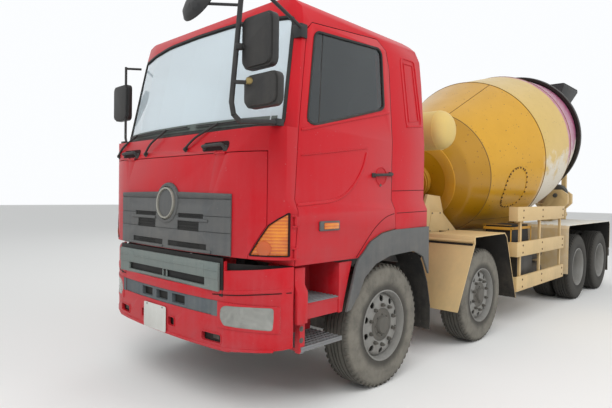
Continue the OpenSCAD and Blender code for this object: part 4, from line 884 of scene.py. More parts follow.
# black sheets behind the bumper's holes, behind the lower grille and behind the corners: painted shade of
# the space there
SHADE_SHEET_PLAN = [(0, 1.389), (0.62, 1.362), (0.75, 1.345), (0.93, 1.285)]
CORNER_SHADE_PLAN = [(0.7, 1.340), (0.93, 1.245), (1.15, 1.10)]
shade_sheet = laid("bumper_shade_sheet", 24, 2, lambda a, b: Vector((F + between(SHADE_SHEET_PLAN, abs(-0.93 + 1.86 * a)),
    -0.93 + 1.86 * a, 0.53 + 0.345 * b)), 0.003)
settled(shade_sheet, "chassis", louvres_and_painted_shade)
settled(box("grille_shade_sheet", (F + 1.3795, -0.745, 0.885), (F + 1.3845, 0.745, 1.156), 0.001), "chassis",
    louvres_and_painted_shade)
# a black strip hanging under the lid's lower edge: painted shade in the gap
settled(laid("lid_shade_strip", 30, 1, lambda a, b: on_nose(-0.74 + 1.48 * a, 1.150 + 0.030 * b, -0.035), 0.003),
    "front_lid", louvres_and_painted_shade)
for side in (-1, 1):
    settled(laid("corner_shade_sheet_%d" % (side > 0), 14, 1,
        lambda a, b: Vector((F + between(CORNER_SHADE_PLAN, 0.72 + 0.43 * a), side * (0.72 + 0.43 * a),
        1.06 + 0.056 * b)), 0.003), "chassis", louvres_and_painted_shade)
corner_seam = eased([(0.642, 0.892), (0.85, 0.904), (1.0, 0.922), (1.186, 0.944)], 0.1, step=0.04)
SIDES = ((1, "left"), (-1, "right"))
for side, name in SIDES:
    path = [Vector((side * y, z)) for y, z in corner_seam]
    settled(band("corner_seam_" + name, path, -0.003, 0.003, lambda y, z: on_bumper(y, z, 0.0018), 0.003),
        "chassis", dark_seam)
    raised = [Vector((side * y, z + 0.020)) for y, z in corner_seam]
    settled(band("corner_crease_" + name, raised, -0.013, 0.013, lambda y, z: on_bumper(y, z, 0.0005),
        0.008, rows=4), "chassis", red_enamel, 0.003)
low_lip = [(y, 0.512 + 0.030 * (abs(y) / 1.1) ** 4) for y in [k * 0.1 - 1.1 for k in range(23)]]
settled(band("bumper_lip", [Vector(p) for p in low_lip], -0.010, 0.012, lambda y, z: on_bumper(y, z, 0.001),
    0.007, rows=3), "chassis", red_enamel, 0.003)

# ---------------------------------------------------------------- lower grille and band
# Lighter, more weathered grey plastic: the bar under the lid with its two middle struts, and
# the speckled band below it with three square air holes.

# the same plastic, bleached by the sun: a green grey
bar_plastic = dirty("sun_bleached_plastic", "#6E7875", "#A8A69B", 0.5, 1.6, 0.5, 0.65, fleck=0.4)
rounded(dressed("lower_grille", bar_plastic), 0.006, 40)
for y in (-0.018, 0.034):
    settled(box("grille_strut_%d" % (y > 0), (F + 1.388, y - 0.008, 0.930), (F + 1.402, y + 0.008, 1.012),
        0.004), "chassis", bar_plastic)
for side in (-1, 1):
    settled(box("bar_step_%d" % (side > 0), (F + 1.405, min(side * 0.47, side * 0.56), 1.012),
        (F + 1.416, max(side * 0.47, side * 0.56), 1.100), 0.005), "chassis", bar_plastic)
settled(box("bar_ridge", (F + 1.408, -0.715, 1.062), (F + 1.4175, 0.715, 1.074), 0.004), "chassis",
    bar_plastic)
# the same plastic, splashed with pale specks: a blue grey
band_plastic = dirty("speckled_band_plastic", "#4E565C", "#8E9089", 0.5, 1.4, 0.5, 0.75, fleck=0.7)
dressed("bumper_band", band_plastic)
band_foot, band_end = (Vector(corner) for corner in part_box("bumper_band"))
for side, name in SIDES:
    settled(laid("band_end_" + name, 6, 4,
        lambda a, b: on_bumper(side * (band_end.y - 0.005 + (0.708 - band_end.y) * a),
        band_foot.z + (band_end.z - band_foot.z) * b, 0.0012), 0.004), "chassis", band_plastic)

# ---------------------------------------------------------------- number plate
# A blank white pressed steel plate on a moulded black bracket, held by two screws through
# its upper edge.

# painted steel under a clear film: an even white
plate_white = dirty("white_plate", "#D4D5D0", "#A09A8C", 0.3, 1.0, 0.5, 0.4)
plate_edge = [(-0.252, 0.508), (0.086, 0.508), (0.086, 0.712), (-0.252, 0.712)]
plate = prism("number_plate", eased(plate_edge, 0.02, True), 1.432, 1.4345)
settled(plate, "chassis", plate_white, 0.0008)
settled(box("plate_bracket", (F + 1.4245, -0.230, 0.52), (F + 1.4316, 0.064, 0.70), 0.002), "chassis",
    black_plastic)
for y in (-0.20, 0.034):
    settled(turned("plate_screw_%d" % (y > 0), [(0, 0.004), (0.005, 0.003), (0.007, 0.001), (0.007, -0.002),
        (0, -0.002)], (F + 1.4347, y, 0.70), (1, 0, 0), 16), "chassis", nut_steel)

# ---------------------------------------------------------------- headlamps
# Clouded polycarbonate lenses with round corners in the red corner panels; behind each are
# two bright bowls with their bulbs.
lens_line = eased([(0.712, 0.742), (0.752, 0.684), (1.098, 0.680), (1.104, 0.838), (0.77, 0.826),
    (0.728, 0.808)], 0.024, True, 0.03)
# moulded polycarbonate: once clear, now clouded in patches 110 mm across
lens_plastic = filmed("clouded_polycarbonate", {"Roughness": 0.22, "Transmission Weight": 0.62, "IOR": 1.5},
    {"Scale": 9.0, "Detail": 8.0, "Distortion": 1.5}, "#E2E3DC", "#A3A59E")
# aluminium steamed on plastic: a bright mirror with 17 mm spots
chrome_bowl = filmed("aluminised_bowl", {"Metallic": 1.0, "Roughness": 0.18},
    {"Scale": 60.0, "Detail": 3.0}, "#C4C6C6", "#9DA09F")


def lamp_sheet(name, back, thick):
    """A sheet over the whole of the left lamp's opening, at a depth behind the bumper's face."""
    return laid(name, 40, 12, lambda a, b: on_bumper(0.6945 + 0.441 * a, 0.6625 + 0.185 * b, back), thick)


surround = cut(lamp_sheet("lamp_surround_left", 0.001, 0.007), prism("opening", lens_line, 1.0, 1.6))
settled(surround, "chassis", red_enamel, 0.0015)
lens = settled(lamp_sheet("headlamp_lens_left", 0.000, 0.005), "chassis", lens_plastic)
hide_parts("headlamps")
seal = settled(band("lamp_seal_left", lens_line, -0.004, 0.004, lambda y, z: on_bumper(y, z, -0.002), 0.006,
    True), "chassis", black_plastic)
tray = lamp_sheet("lamp_tray_left", -0.060, 0.003)
settled(tray, "chassis", grey_plastic)
bowls = []
for y in (0.80, 0.935):
    place = on_bumper(y, 0.755, -0.055)
    bowls += [turned("bowl", [(0.016, -0.004), (0.030, 0.004), (0.046, 0.018), (0.056, 0.036),
        (0.060, 0.036), (0.050, 0.014), (0.032, -0.002), (0.016, -0.010)], place, (1, 0.35, 0), 32),
        turned("bulb", [(0, 0.020), (0.006, 0.018), (0.008, 0.010), (0.008, -0.006), (0, -0.006)], place,
        (1, 0.35, 0), 16)]
bowls = settled(welded("lamp_bowls_left", bowls), "chassis", chrome_bowl)
both("chassis", surround, lens, seal, tray, bowls)

# ---------------------------------------------------------------- corner lamps
# Moulded amber lenses with horizontal flutes, in a dark seal on the cab's corners; a round
# bulb cup shows in the foot of each.

# moulded amber acrylic: glossy, with flutes 22 mm apart, each painted darker towards its root as painted
# shade, over patches of grime
amber_lens, amber_shader, amber_place = surface("amber_lens", {"Roughness": 0.2, "Coat Weight": 0.6})
dressed("corner_lamps", amber_lens)
flute = node(amber_lens, "TexWave", {"Vector": amber_place, "Scale": 14.0, "Distortion": 0.4},
    bands_direction="Z", wave_profile="SAW")
grime = node(amber_lens, "TexNoise", {"Vector": amber_place, "Scale": 7.0, "Detail": 6.0})
# the flutes' painted shade, mixed with the grime
amber_grime_and_flute_shade = node(amber_lens, "Math", {0: flute, 1: 0.55, 2: grime}, operation="MULTIPLY_ADD")
amber_grime_and_flute_shade = node(amber_lens, "MapRange", {"Value": amber_grime_and_flute_shade, "From Min": 0.3, "From Max": 1.1})
amber_tone = node(amber_lens, "Mix", {0: amber_grime_and_flute_shade, 6: linear("#E8921C"), 7: linear("#B8460C")},
    data_type="RGBA", out=2)
joined(amber_tone, amber_shader, "Base Color")
amber_bump = node(amber_lens, "Bump", {"Height": flute, "Strength": 0.6, "Distance": 0.004})
joined(amber_bump, amber_shader, "Normal")
# the same plastic over a dark cup
deep_amber = dirty("deep_amber_lens", "#C2541A", "#8A5A30", 1.0, 1.6, 0.3, 0.25, coat=0.5)
cup_place = on_nose(1.045, 1.240, 0.0)
cup = settled(turned("corner_lamp_cup_left", [(0, 0.007), (0.020, 0.006), (0.036, 0.003), (0.042, 0.001),
    (0.050, 0.0025), (0.053, -0.001), (0.053, -0.006), (0, -0.006)], cup_place, (0.87, 0.49, 0), 40), "cab",
    deep_amber)
lamp_edge = eased([(0.945, 1.190), (1.075, 1.402), (1.176, 1.488), (1.176, 1.190)], 0.01, True, 0.04)
gasket = settled(band("corner_lamp_seal_left", lamp_edge, -0.006, 0.003, lambda y, z: on_nose(y, z, 0.0015),
    0.004, True), "cab", dark_seam)
both("cab", cup, gasket)

# ---------------------------------------------------------------- door fittings
# A black pull handle over a round dish with its lock, and an amber marker lamp in a grey
# housing low on the door.
dish_y = on_side(0.055, 1.775).y
dish = turned("handle_dish_left", [(0.066, 0.0), (0.070, 0.004), (0.076, 0.004), (0.080, -0.002),
    (0.060, -0.002), (0.0, 0.0006), (0.0, 0.0014), (0.050, 0.0010)], (F + 0.075, dish_y, 1.775), (0, 1, 0),
    48)
settled(dish, "door_left", red_enamel)
PULL_LINE = [(0.195, 0.0, 1.778), (0.182, 0.026, 1.780), (0.0, 0.030, 1.790), (-0.055, 0.026, 1.796),
    (-0.066, 0.0, 1.797)]
pull = tube("handle_left", [Vector((F + x, dish_y + d, z)) for x, d, z in PULL_LINE], 0.0125, 0.02)
mounts = [box("mount", (F + x - 0.025, dish_y - 0.002, z - 0.018),
    (F + x + 0.025, dish_y + 0.012, z + 0.018), 0.006) for x, z in ((0.185, 1.779), (-0.055, 1.796))]
pull = settled(welded("handle_left", [pull] + mounts), "door_left", black_plastic)
lock = settled(turned("door_lock_left", [(0, 0.005), (0.010, 0.005), (0.013, 0.001), (0.013, -0.002),
    (0, -0.002)], (F + 0.085, dish_y, 1.700), (0, 1, 0), 24), "door_left", nut_steel)
marker_y = on_side(0.77, 1.39).y
holder = settled(box("marker_housing_left", (F + 0.665, marker_y - 0.003, 1.352),
    (F + 0.885, marker_y + 0.014, 1.424), 0.008), "door_left", grey_plastic)
marker = settled(box("marker_lens_left", (F + 0.685, marker_y + 0.008, 1.364),
    (F + 0.845, marker_y + 0.024, 1.412), 0.008), "door_left", amber_lens)
both("door_left", dish, pull, lock, holder, marker)

# ---------------------------------------------------------------- steps
# Folded red boxes under the doors; a perforated grey tread lies on top and a rough open steel
# tread hangs below, bolted through the side.

# zinc-dipped steel: a pale, dull metal
tread_steel = dirty("galvanised_tread", "#83868A", "#8F887B", 0.3, 1.2, 0.6, 0.6, metallic=0.35, fleck=0.4)
boxes = dressed("step_boxes", red_enamel, 0.006)
boxes.data.materials.append(tread_steel)
for face in boxes.data.polygons:
    if 0.500 < face.center.z < 0.545 and face.center.x < F + 1.045:
        face.material_index = 1
treads = [box("plate", (F + 0.645, 0.885, 0.8515), (F + 1.035, 1.190, 0.857), 0.001)]
for k in range(9):
    treads.append(box("rib", (F + 0.655, 0.895 + 0.034 * k, 0.8565), (F + 1.025, 0.907 + 0.034 * k, 0.8640),
        0.002))
for k in range(8):
    treads.append(box("bar", (F + 0.605, 0.885 + 0.043 * k, 0.5405), (F + 1.045, 0.897 + 0.043 * k, 0.5530),
        0.002))
for k in range(12):
    treads.append(box("cross", (F + 0.615 + 0.037 * k, 0.883, 0.5405),
        (F + 0.622 + 0.037 * k, 1.194, 0.5500), 0.001))
tread = settled(welded("step_treads_left", treads), "chassis", tread_steel)
both("chassis", tread)
for z in (0.60, 0.68):
    for side in (-1, 1):
        settled(turned("step_bolt_%d_%d" % (z * 100, side > 0), [(0, 0.008), (0.010, 0.008), (0.012, 0.002),
            (0.020, 0.001), (0.020, -0.001), (0, -0.001)], (F + 1.035, side * 1.185, z), (0, side, 0), 12),
            "chassis", nut_steel)

# ---------------------------------------------------------------- mirrors
# Black moulded heads on a bent tube; silvered glass looks back, and brass clamps hold the
# lower head to its pole.

# silvered glass: a near perfect mirror with a thin dust film
mirror_glass = filmed("silvered_glass", {"Metallic": 1.0, "Roughness": 0.04},
    {"Scale": 12.0, "Detail": 4.0}, "#D6DADA", "#B9BEBE")
rounded(dressed("mirrors", black_plastic), 0, 50)
for name, x, y0, y1, z0, z1 in (("main", 1.568, 1.245, 1.465, 2.365, 2.635),
        ("wide", 1.553, 1.250, 1.495, 2.138, 2.295), ("driver", 1.081, -1.415, -1.185, 2.355, 2.670)):
    outline = eased([(y0, z0), (y1, z0), (y1, z1), (y0, z1)], 0.04, True)
    settled(prism("mirror_glass_" + name, outline, x - 0.002, x + 0.001), "cab", mirror_glass)
# cast brass, tarnished: dull yellow
brass = dirty("tarnished_brass", "#A8935E", "#7D7660", 1.0, 3.0, 0.4, 0.4, metallic=0.7)
for name, place in (("wide", (F + 1.618, 1.292, 2.276)), ("main", (F + 1.655, 1.235, 2.480))):
    settled(turned("mirror_clamp_" + name, [(0.0125, 0.022), (0.020, 0.020), (0.022, 0.0), (0.020, -0.020),
        (0.0125, -0.022)], place, Vector((-0.8, 0.55, 0)), 20), "cab",
        brass if name == "wide" else black_plastic, 0.001)

# ---------------------------------------------------------------- mixing drum
# Rolled and welded steel, sprayed in yellow enamel, rubbed and splashed. A paler belt
# runs from the middle seam to the rear cone, which has a purple stripe; the rolled
# track ring behind it is bare, dark and greasy.
DRUM_FOOT = Vector((F - 2.0, 0, 1.735))
DRUM_TILT = radians(14.3)
DRUM_WAY = Vector((-cos(DRUM_TILT), 0, sin(DRUM_TILT)))
DRUM_LINE = [(0.40, 0.30), (0.44, 0.52), (0.56, 0.70), (0.85, 0.85), (1.99, 1.16), (3.165, 1.16),
    (4.05, 1.005), (5.05, 0.56)]
DRUM_DOWN = DRUM_WAY.cross(Vector((0, 1, 0)))


def on_drum(along, turn, proud=0.0):
    """A point of the drum's skin; turn is 0 at the truck's left and grows downwards."""
    out = Vector((0, 1, 0)) * cos(turn) + DRUM_DOWN * sin(turn)
    return DRUM_FOOT + DRUM_WAY * along + out * (between(DRUM_LINE, along) + proud)


# sprayed enamel: a strong yellow, clouded, rubbed dull and splashed with mortar
drum_enamel, drum_gloss, drum_place = surface("sprayed_drum_enamel",
    {"Coat Weight": 0.22, "Coat Roughness": 0.2})
along = node(drum_enamel, "VectorMath", {0: drum_place, 1: DRUM_WAY}, operation="DOT_PRODUCT", out="Value")
along = node(drum_enamel, "Math", {0: along, 1: DRUM_FOOT.dot(DRUM_WAY)}, operation="SUBTRACT")
down = node(drum_enamel, "VectorMath", {0: drum_place, 1: DRUM_DOWN}, operation="DOT_PRODUCT", out="Value")
down = node(drum_enamel, "Math", {0: down, 1: DRUM_FOOT.dot(DRUM_DOWN)}, operation="SUBTRACT")
cloud = node(drum_enamel, "TexNoise", {"Vector": drum_place, "Scale": 2.2, "Detail": 9.0, "Roughness": 0.7})


def belt(low, high, soft=0.012, wave=0.0):
    """1 between two distances along the drum and 0 outside them."""
    place = node(drum_enamel, "Math", {0: cloud, 1: wave, 2: along}, operation="MULTIPLY_ADD")
    first = node(drum_enamel, "MapRange", {"Value": place, "From Min": low - soft, "From Max": low + soft})
    last = node(drum_enamel, "MapRange", {"Value": place, "From Min": high + soft, "From Max": high - soft})
    return node(drum_enamel, "Math", {0: first, 1: last}, operation="MULTIPLY")


# the pale belt, clouded like the ground; the purple stripe, worn through in mottles 150 mm across
belt_tone = node(drum_enamel, "Mix", {0: cloud, 6: linear("#CDA62E"), 7: linear("#BB9C46")},
    data_type="RGBA", out=2)
mottle = node(drum_enamel, "TexNoise", {"Vector": drum_place, "Scale": 7.0, "Detail": 8.0,
    "Roughness": 0.75})
mottle = node(drum_enamel, "MapRange", {"Value": mottle, "From Min": 0.42, "From Max": 0.66})
purple = node(drum_enamel, "Mix", {0: mottle, 6: linear("#9E3A63"), 7: linear("#B07A98")}, data_type="RGBA",
    out=2)
# mortar has run down the rear of the lower half, in ragged clouds 250 mm across
streak = node(drum_enamel, "Mapping", {"Vector": drum_place, "Scale": (2.6, 2.0, 3.4),
    "Rotation": (0, radians(25), 0)})
streak = node(drum_enamel, "TexNoise", {"Vector": streak, "Scale": 1.3, "Detail": 8.0, "Roughness": 0.65})
wet = node(drum_enamel, "MapRange", {"Value": down, "From Min": -0.15, "From Max": 0.75})
wet = node(drum_enamel, "Math", {0: wet, 1: 0.62, 2: streak}, operation="MULTIPLY_ADD")
wet = node(drum_enamel, "MapRange", {"Value": wet, "From Min": 0.66, "From Max": 0.82})
wet = node(drum_enamel, "Math", {0: wet, 1: belt(2.02, 9.0, 0.05, 0.1)}, operation="MULTIPLY")
# rust specks, 12 to 20 mm across, where the mottle lets them
cells = node(drum_enamel, "TexVoronoi", {"Vector": drum_place, "Scale": 17.0})
speck = node(drum_enamel, "MapRange", {"Value": cells, "From Min": 0.19, "From Max": 0.11})
some = node(drum_enamel, "MapRange", {"Value": mottle, "From Min": 0.2, "From Max": 0.7})
speck = node(drum_enamel, "Math", {0: speck, 1: some}, operation="MULTIPLY")
# each coat lies over the ones before it, where its mask lets it: the clouded ground, the front
# cone, the pale belt, the purple stripe, the mortar and the rust
tone = linear("#D09A00")
for mask, colour in ((cloud, linear("#B98806")), (belt(-1, 0.85), linear("#A97A04")),
        (belt(1.995, 4.0), belt_tone), (belt(3.12, 9.0, 0.03, 0.10), purple), (wet, linear("#D3CBBB")),
        (speck, linear("#6A4A1C"))):
    tone = node(drum_enamel, "Mix", {0: mask, 6: tone, 7: colour}, data_type="RGBA", out=2)
joined(tone, drum_gloss, "Base Color")
rub = node(drum_enamel, "MapRange", {"Value": cloud, "To Min": 0.22, "To Max": 0.5})
rub = node(drum_enamel, "Math", {0: rub, 1: wet}, operation="MAXIMUM")
joined(rub, drum_gloss, "Roughness")
# machined steel, never painted: dark with grease
greasy_steel = dirty("greasy_track_steel", "#2B2723", "#5A5048", 1.0, 4.0, 0.5, 0.45, metallic=0.5)
skin_line = eased(DRUM_LINE, 0.035, step=0.12)
plates = [(0.0, 0.4005)] + [(p[1], p[0]) for p in skin_line]
plates += [(p[1] - 0.006, p[0] + 0.004) for p in reversed(skin_line)] + [(0.0, 0.406)]
drum = settled(turned("drum_plates", plates, DRUM_FOOT, DRUM_WAY, 192), "drum", drum_enamel, 0, 24)
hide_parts("drum_shell")
settled(turned("drum_track_ring", [(1.088, 3.937), (1.090, 3.941), (1.090, 4.019), (1.088, 4.023),
    (1.050, 4.025), (1.040, 3.994), (1.006, 3.994), (1.008, 3.966), (1.040, 3.966), (1.050, 3.935)],
    DRUM_FOOT, DRUM_WAY, 192), "drum", greasy_steel)
# a weld bead whose paint has rusted through: brown yellow
weld_steel = dirty("rusting_weld", "#7A5A2A", "#A08A5A", 1.0, 4.0, 0.4, 0.7)
for far, lip in ((0.85, 0.002), (1.99, 0.004), (3.165, 0.003)):
    wide = between(DRUM_LINE, far)
    settled(turned("drum_weld_%d" % (far * 100), [(wide - 0.006, far - 0.009), (wide + lip, far - 0.004),
        (wide + lip + 0.001, far), (wide + lip, far + 0.004), (wide - 0.006, far + 0.009)], DRUM_FOOT,
        DRUM_WAY, 160), "drum", weld_steel)
for turn in (0.9, 3.2, 5.1):
    settled(laid("drum_lap_%d" % (turn * 10), 40, 1, lambda a, b: on_drum(0.86 + 1.12 * a, turn + 0.008 * b,
        0.001), 0.004), "drum", weld_steel)
# sprayed enamel: ochre, half gloss
yellow_enamel = dirty("yellow_enamel", "#C98F14", "#A8905A", 1.0, 3.8, 0.5, 0.5, fleck=0.3)
dressed("drum_blades", yellow_enamel)
settled(turned("drum_nose_flange", [(0.42, 0.418), (0.545, 0.440), (0.548, 0.456), (0.535, 0.462),
    (0.42, 0.452)], DRUM_FOOT, DRUM_WAY, 96), "drum", yellow_enamel, 0.002)

# ---------------------------------------------------------------- drum hatch
# An oval steel cover in the drum's front cone, in the drum's enamel, with rusty bolts all
# round its edge.
HATCH = [(1.425, 0.05), (1.26, 0.08), (1.165, 0.22), (1.15, 0.48), (1.23, 0.63), (1.42, 0.66), (1.58, 0.60),
    (1.64, 0.42), (1.57, 0.14)]
hatch_line = eased(HATCH, 0.12, True, 0.03)
settled(band("drum_hatch_edge", hatch_line, -0.014, 0.010, lambda s, w: on_drum(s, w, 0.0015), 0.006, True,
    2), "drum", drum_enamel, 0.001)
settled(band("drum_hatch_gap", hatch_line, 0.010, 0.014, lambda s, w: on_drum(s, w, 0.0008), 0.002, True),
    "drum", weld_steel)
# rusted steel: dark brown, matt
rusty_bolt = dirty("rusty_bolt", "#40291A", "#6A5238", 1.0, 4.0, 0.4, 0.85)
bolts = []
for k in range(0, len(hatch_line), max(1, len(hatch_line) // 26)):
    s, w = hatch_line[k]
    out = Vector((0, 1, 0)) * cos(w) + DRUM_DOWN * sin(w)
    bolts.append(turned("bolt", [(0, 0.012), (0.009, 0.011), (0.0125, 0.005), (0.016, 0.003),
        (0.016, -0.004), (0, -0.004)], on_drum(s, w), out, 8))
settled(welded("drum_hatch_bolts", bolts), "drum", rusty_bolt)

# ---------------------------------------------------------------- drum drive
# A cast planetary gearbox bolted to the front stand, with a hydraulic motor ahead of it
# and two steel pressure pipes down to the frame.
dressed("drum_gearbox", yellow_enamel)


def gearbox_ring(name, rows, corner=0.0):
    """A ring on the gearbox's case; its rows list place along the drum's axis and radius."""
    settled(turned(name, [(r, s) for s, r in rows], DRUM_FOOT, DRUM_WAY), "chassis", yellow_enamel, corner)


gearbox_ring("gearbox_collar", [(0.300, 0.190), (0.300, 0.214), (0.312, 0.218), (0.326, 0.214),
    (0.326, 0.190)], 0.002)
for k in range(5):
    near, far = 0.10 + 0.036 * k, 0.108 + 0.036 * k
    gearbox_ring("gearbox_fin_%d" % k, [(near, 0.188), (near, 0.204), (far, 0.204), (far, 0.188)])
studs = ringed(turned("gearbox_studs", [(0, 0.010), (0.011, 0.010), (0.013, 0.002), (0.013, -0.006),
    (0, -0.006)], DRUM_FOOT + DRUM_WAY * 0.055 + DRUM_DOWN * 0.155, -DRUM_WAY, 6), 16, DRUM_FOOT, DRUM_WAY)
settled(studs, "chassis", nut_steel)
motor = [turned("motor", [(0.0, -0.198), (0.070, -0.198), (0.086, -0.185), (0.086, -0.10), (0.112, -0.094),
    (0.112, -0.02), (0.0, -0.02)], DRUM_FOOT, DRUM_WAY, 48)]
for side in (-1, 1):
    place = DRUM_FOOT + DRUM_WAY * -0.150 + Vector((0, side * 0.080, 0))
    motor.append(turned("port", [(0, 0.035), (0.026, 0.035), (0.030, 0.028), (0.030, -0.02), (0, -0.02)],
        place, (0, side, 0), 6))
settled(welded("hydraulic_motor", motor), "chassis", cast_iron, 0.002)
for side in (-1, 1):
    start_at = DRUM_FOOT + DRUM_WAY * -0.150 + Vector((0, side * 0.110, 0))
    settled(tube("pressure_pipe_%d" % (side > 0), [start_at, start_at + Vector((0.0, side * 0.045, -0.01)),
        Vector((start_at.x + 0.02, side * 0.17, 1.45)), Vector((start_at.x + 0.06, side * 0.20, 1.16)),
        Vector((start_at.x + 0.20, side * 0.22, 1.02))], 0.014, 0.05), "chassis", black_plastic)

# ---------------------------------------------------------------- front stand
# The front stand is folded from steel plate; a flat cover closes the opening in each side,
# held by four small bolts.
STAND_FACE = 0.405
for side, name in SIDES:
    low, high = sorted((side * 0.397, side * STAND_FACE))
    plate_line = [(-2.590, 1.172), (-2.050, 1.172), (-2.112, 1.418), (-2.338, 1.418)]
    cover = pulled("stand_cover_" + name, [(F + x, low, z) for x, z in plate_line], (0, high - low, 0))
    settled(cover, "chassis", beige_enamel, 0.002)
    heads = [turned("bolt", [(0, 0.007), (0.009, 0.007), (0.011, 0.001), (0.011, -0.002), (0, -0.002)],
        Vector((F + x, side * STAND_FACE, z)), (0, side, 0), 6)
        for x, z in ((-2.555, 1.184), (-2.075, 1.184), (-2.128, 1.405), (-2.325, 1.405))]
    settled(welded("stand_cover_bolts_" + name, heads), "chassis", nut_steel)

# ---------------------------------------------------------------- water tank
# A rolled steel tank with pressed, domed ends, cream enamel weathered to grey, strapped
# to its saddles; a brass valve and a filler are welded to it.
TANK = Vector((F - 1.5, 0, 2.345))
TANK_RADIUS = 0.215
dome = [(0.0, 0.979), (0.05, 0.977), (0.095, 0.970), (0.130, 0.958), (0.160, 0.941), (0.184, 0.918),
    (0.201, 0.891), (0.211, 0.862), (TANK_RADIUS, 0.830)]
tank_side = [(TANK_RADIUS, y) for y in (0.5, 0.0, -0.5)]
tank = turned("water_tank_shell", dome + tank_side + [(r, -y) for r, y in reversed(dome)], TANK,
    (0, 1, 0), 96)
settled(tank, "chassis", cream_enamel, 0, 30)
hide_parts("water_tank")
for name, y, r0, r1, half, material in (
        ("seam_left", 0.842, 0.213, 0.2175, 0.004, cream_enamel),
        ("seam_right", -0.842, 0.213, 0.2175, 0.004, cream_enamel),
        ("strap_left", 0.385, 0.213, 0.219, 0.028, beige_enamel),
        ("strap_right", -0.385, 0.213, 0.219, 0.028, beige_enamel)):
    settled(turned("tank_" + name, [(r0, y - half), (r1, y - half * 0.9), (r1, y + half * 0.9),
        (r0, y + half)], TANK, (0, 1, 0), 96), "chassis", material)
settled(turned("tank_filler", [(0, 0.052), (0.050, 0.052), (0.056, 0.044), (0.056, 0.026), (0.046, 0.024),
    (0.046, -0.01), (0, -0.01)], TANK + Vector((0, -0.15, 0.212)), (0, 0, 1), 40), "chassis", nut_steel,
    0.002)
settled(turned("tank_valve", [(0, 0.060), (0.014, 0.060), (0.018, 0.050), (0.018, 0.020), (0.030, 0.016),
    (0.030, 0.0), (0.018, -0.01), (0, -0.01)], TANK + Vector((0, 0.60, -0.212)), (0, 0, -1), 24), "chassis",
    brass, 0.001)

# ---------------------------------------------------------------- fenders
# Folded steel troughs in beige enamel; dried mortar lies white on their flat tops. The front
# sheet of the axle 2 pair is folded out over itself at the top edge.

# the beige enamel again, white above the level of the top sheet
pale_top = dirty("mortar_dusted_enamel", "#CDB07E", "#DAD8D0", 1.206, 1.190, 4.0, 0.55, fleck=0.5)
# black, rough and muddy, on the faces turned towards the wheels
wheel_side_black = dirty("sprayed_underseal", "#1C1B1A", "#5E564B", 0.3, 1.2, 0.7, 0.9, fleck=0.8)
for name, enamel, first, last in (("rear_fenders", pale_top, -5.2, -6.9),
        ("axle_2_fenders", beige_enamel, AXLE_2, AXLE_2)):
    fender = dressed(name, enamel)
    fender.data.materials.append(wheel_side_black)
    for face in fender.data.polygons:
        x = face.center.x - F
        inwards = Vector((min(max(x, last), first) - x, 0, AXLE_Z - face.center.z)).normalized()
        if face.normal.dot(inwards) > 0.5 and abs(face.normal.y) < 0.5:
            face.material_index = 1
for side, name in SIDES:
    def fold(a, b):
        """A point of the front sheet's upper edge, folded out over itself."""
        return Vector((F + AXLE_2 + 0.353 + 0.012 * b + 0.020 * sin(pi * b), side * (0.672 + 0.555 * a),
            1.118 + 0.034 * b))
    settled(laid("fender_fold_" + name, 8, 8, fold, 0.004), "chassis", beige_enamel)
    # a black strip under the fold: painted shade of the gap beneath it
    settled(laid("fender_gap_shade_" + name, 8, 1,
        lambda a, b: Vector((F + AXLE_2 + 0.3555 + 0.0125 * (1 - b), side * (0.675 + 0.545 * a),
        1.096 + 0.022 * b)), 0.002), "chassis", louvres_and_painted_shade)

# ---------------------------------------------------------------- mud flaps
# Ribbed sheets of moulded rubber behind the last wheels, each clamped under a folded steel
# bar at the end of its fender.

# moulded rubber: black, grey with dried spray
flap_rubber = dirty("moulded_flap_rubber", "#1F1F1F", "#8A8070", 0.2, 1.2, 0.8, 0.8)
FLAP_RIBS = 44
for side, name in SIDES:
    def flap(a, b):
        """A point of the flap, which hangs in a shallow bow."""
        rib = 0.003 * (round(a * FLAP_RIBS) % 2)
        return Vector((F - 7.322 + 0.012 * sin(pi * (1 - b)) + rib, side * (0.56 + 0.66 * a),
            0.27 + 0.46 * b))
    settled(laid("mud_flap_" + name, FLAP_RIBS, 8, flap, 0.010), "chassis", flap_rubber)
    low, high = sorted((side * 0.55, side * 1.225))
    settled(box("mud_flap_bar_" + name, (F - 7.335, low, 0.705), (F - 7.312, high, 0.745), 0.003),
        "chassis", beige_enamel)

# ---------------------------------------------------------------- battery cover
# A black moulded cover over the batteries behind axle 2, held down by a frame of yellow
# steel angles.
def hood(a, b):
    """The cover's low dome, with its edge turned down for a skirt."""
    skirt = a < 0.001 or a > 0.999 or b < 0.001 or b > 0.999
    return Vector((F - 3.50 + 0.69 * a, 0.765 + 0.355 * b,
        0.885 if skirt else 1.255 + 0.022 * sin(pi * a) * sin(pi * b)))


settled(laid("battery_cover", 18, 14, hood, 0.004), "chassis", louvres_and_painted_shade, 0.003)
bars = [box("bar", (F - 3.515, 1.124, 1.205), (F - 2.795, 1.129, 1.240), 0.002),
    box("bar", (F - 2.801, 0.775, 1.205), (F - 2.796, 1.129, 1.240), 0.002)]
for x, y in ((-3.515, 1.124), (-3.17, 1.124), (-2.825, 1.124)):
    bars.append(box("bar", (F + x, y, 0.885), (F + x + 0.028, y + 0.005, 1.23), 0.002))
    bars.append(box("bar", (F + x, 0.765, 1.262), (F + x + 0.028, 1.129, 1.267), 0.002))
settled(welded("battery_frame", bars), "chassis", yellow_enamel)

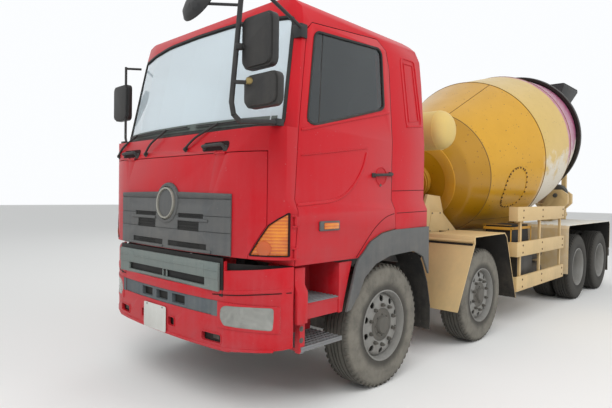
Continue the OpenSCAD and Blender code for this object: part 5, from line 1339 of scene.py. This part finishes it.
# ---------------------------------------------------------------- side guards
# Three folded steel planks a side, in beige enamel, each held to its posts by two rusty
# bolts.
dressed("side_guards", beige_enamel)
GUARD_FACE = 1.2395
for side, name in SIDES:
    heads = [turned("bolt", [(0, 0.006), (0.010, 0.006), (0.013, 0.001), (0.013, -0.003), (0, -0.003)],
        Vector((F + x, side * GUARD_FACE, z + dz)), (0, side, 0), 12) for x in (-2.92, -3.62, -4.48)
        for z in (0.54, 0.97, 1.41) for dz in (-0.045, 0.045)]
    settled(welded("guard_bolts_" + name, heads), "chassis", rusty_bolt)

# ---------------------------------------------------------------- rear lamps and plate
# Moulded lamp units with a red, an amber and a clear lens each, and a blank plate on the
# black bar that carries them.
dressed("rear_lamp_bar", black_plastic)
# moulded acrylic: a clear dark red
red_lens = dirty("red_polycarbonate_lens", "#A3101A", "#7A4A40", 0.4, 1.2, 0.4, 0.25, coat=0.4)
for side, name in SIDES:
    for kind, y0, y1, material in (("stop", 1.04, 1.15, red_lens), ("turn", 0.935, 1.035, amber_lens),
            ("reverse", 0.83, 0.93, lens_plastic)):
        low, high = sorted((side * y0, side * y1))
        lens_name = "%s_lamp_lens_%s" % (kind, name)
        settled(box(lens_name, (F - 7.681, low, 0.640), (F - 7.668, high, 0.730), 0.006), "chassis",
            material)
settled(box("rear_plate", (F - 7.5990, -0.26, 0.525), (F - 7.5945, 0.26, 0.635), 0.002), "chassis",
    plate_white)

# ---------------------------------------------------------------- funnel, chute and ladder
# Folded sheet steel below the drum's mouth: the funnel, the chute that swings under it with
# its flap, and a tubular ladder up to the hopper.
for name in ("discharge_funnel", "chute", "chute_flap"):
    dressed(name, beige_enamel)
dressed("rear_ladder", yellow_enamel)

# ---------------------------------------------------------------- charge hopper
# Folded sheet steel over the drum's mouth, painted black, with a rod welded round its edge
# for a rim.

# sprayed enamel: black, dulled by cement dust
dark_enamel = dirty("dark_enamel", "#2B2D2F", "#9A9080", 1.0, 4.0, 0.4, 0.6)
dressed("charge_hopper", dark_enamel)
RIM_TOP = 3.806
rim = [Vector((F + x, y, RIM_TOP)) for x, y in ((-7.2, 0.536), (-7.636, 0.536), (-7.636, -0.536),
    (-6.764, -0.536), (-6.764, 0.536), (-7.2, 0.536))]
settled(tube("hopper_rim", rim, 0.011, 0.04), "chassis", dark_enamel)
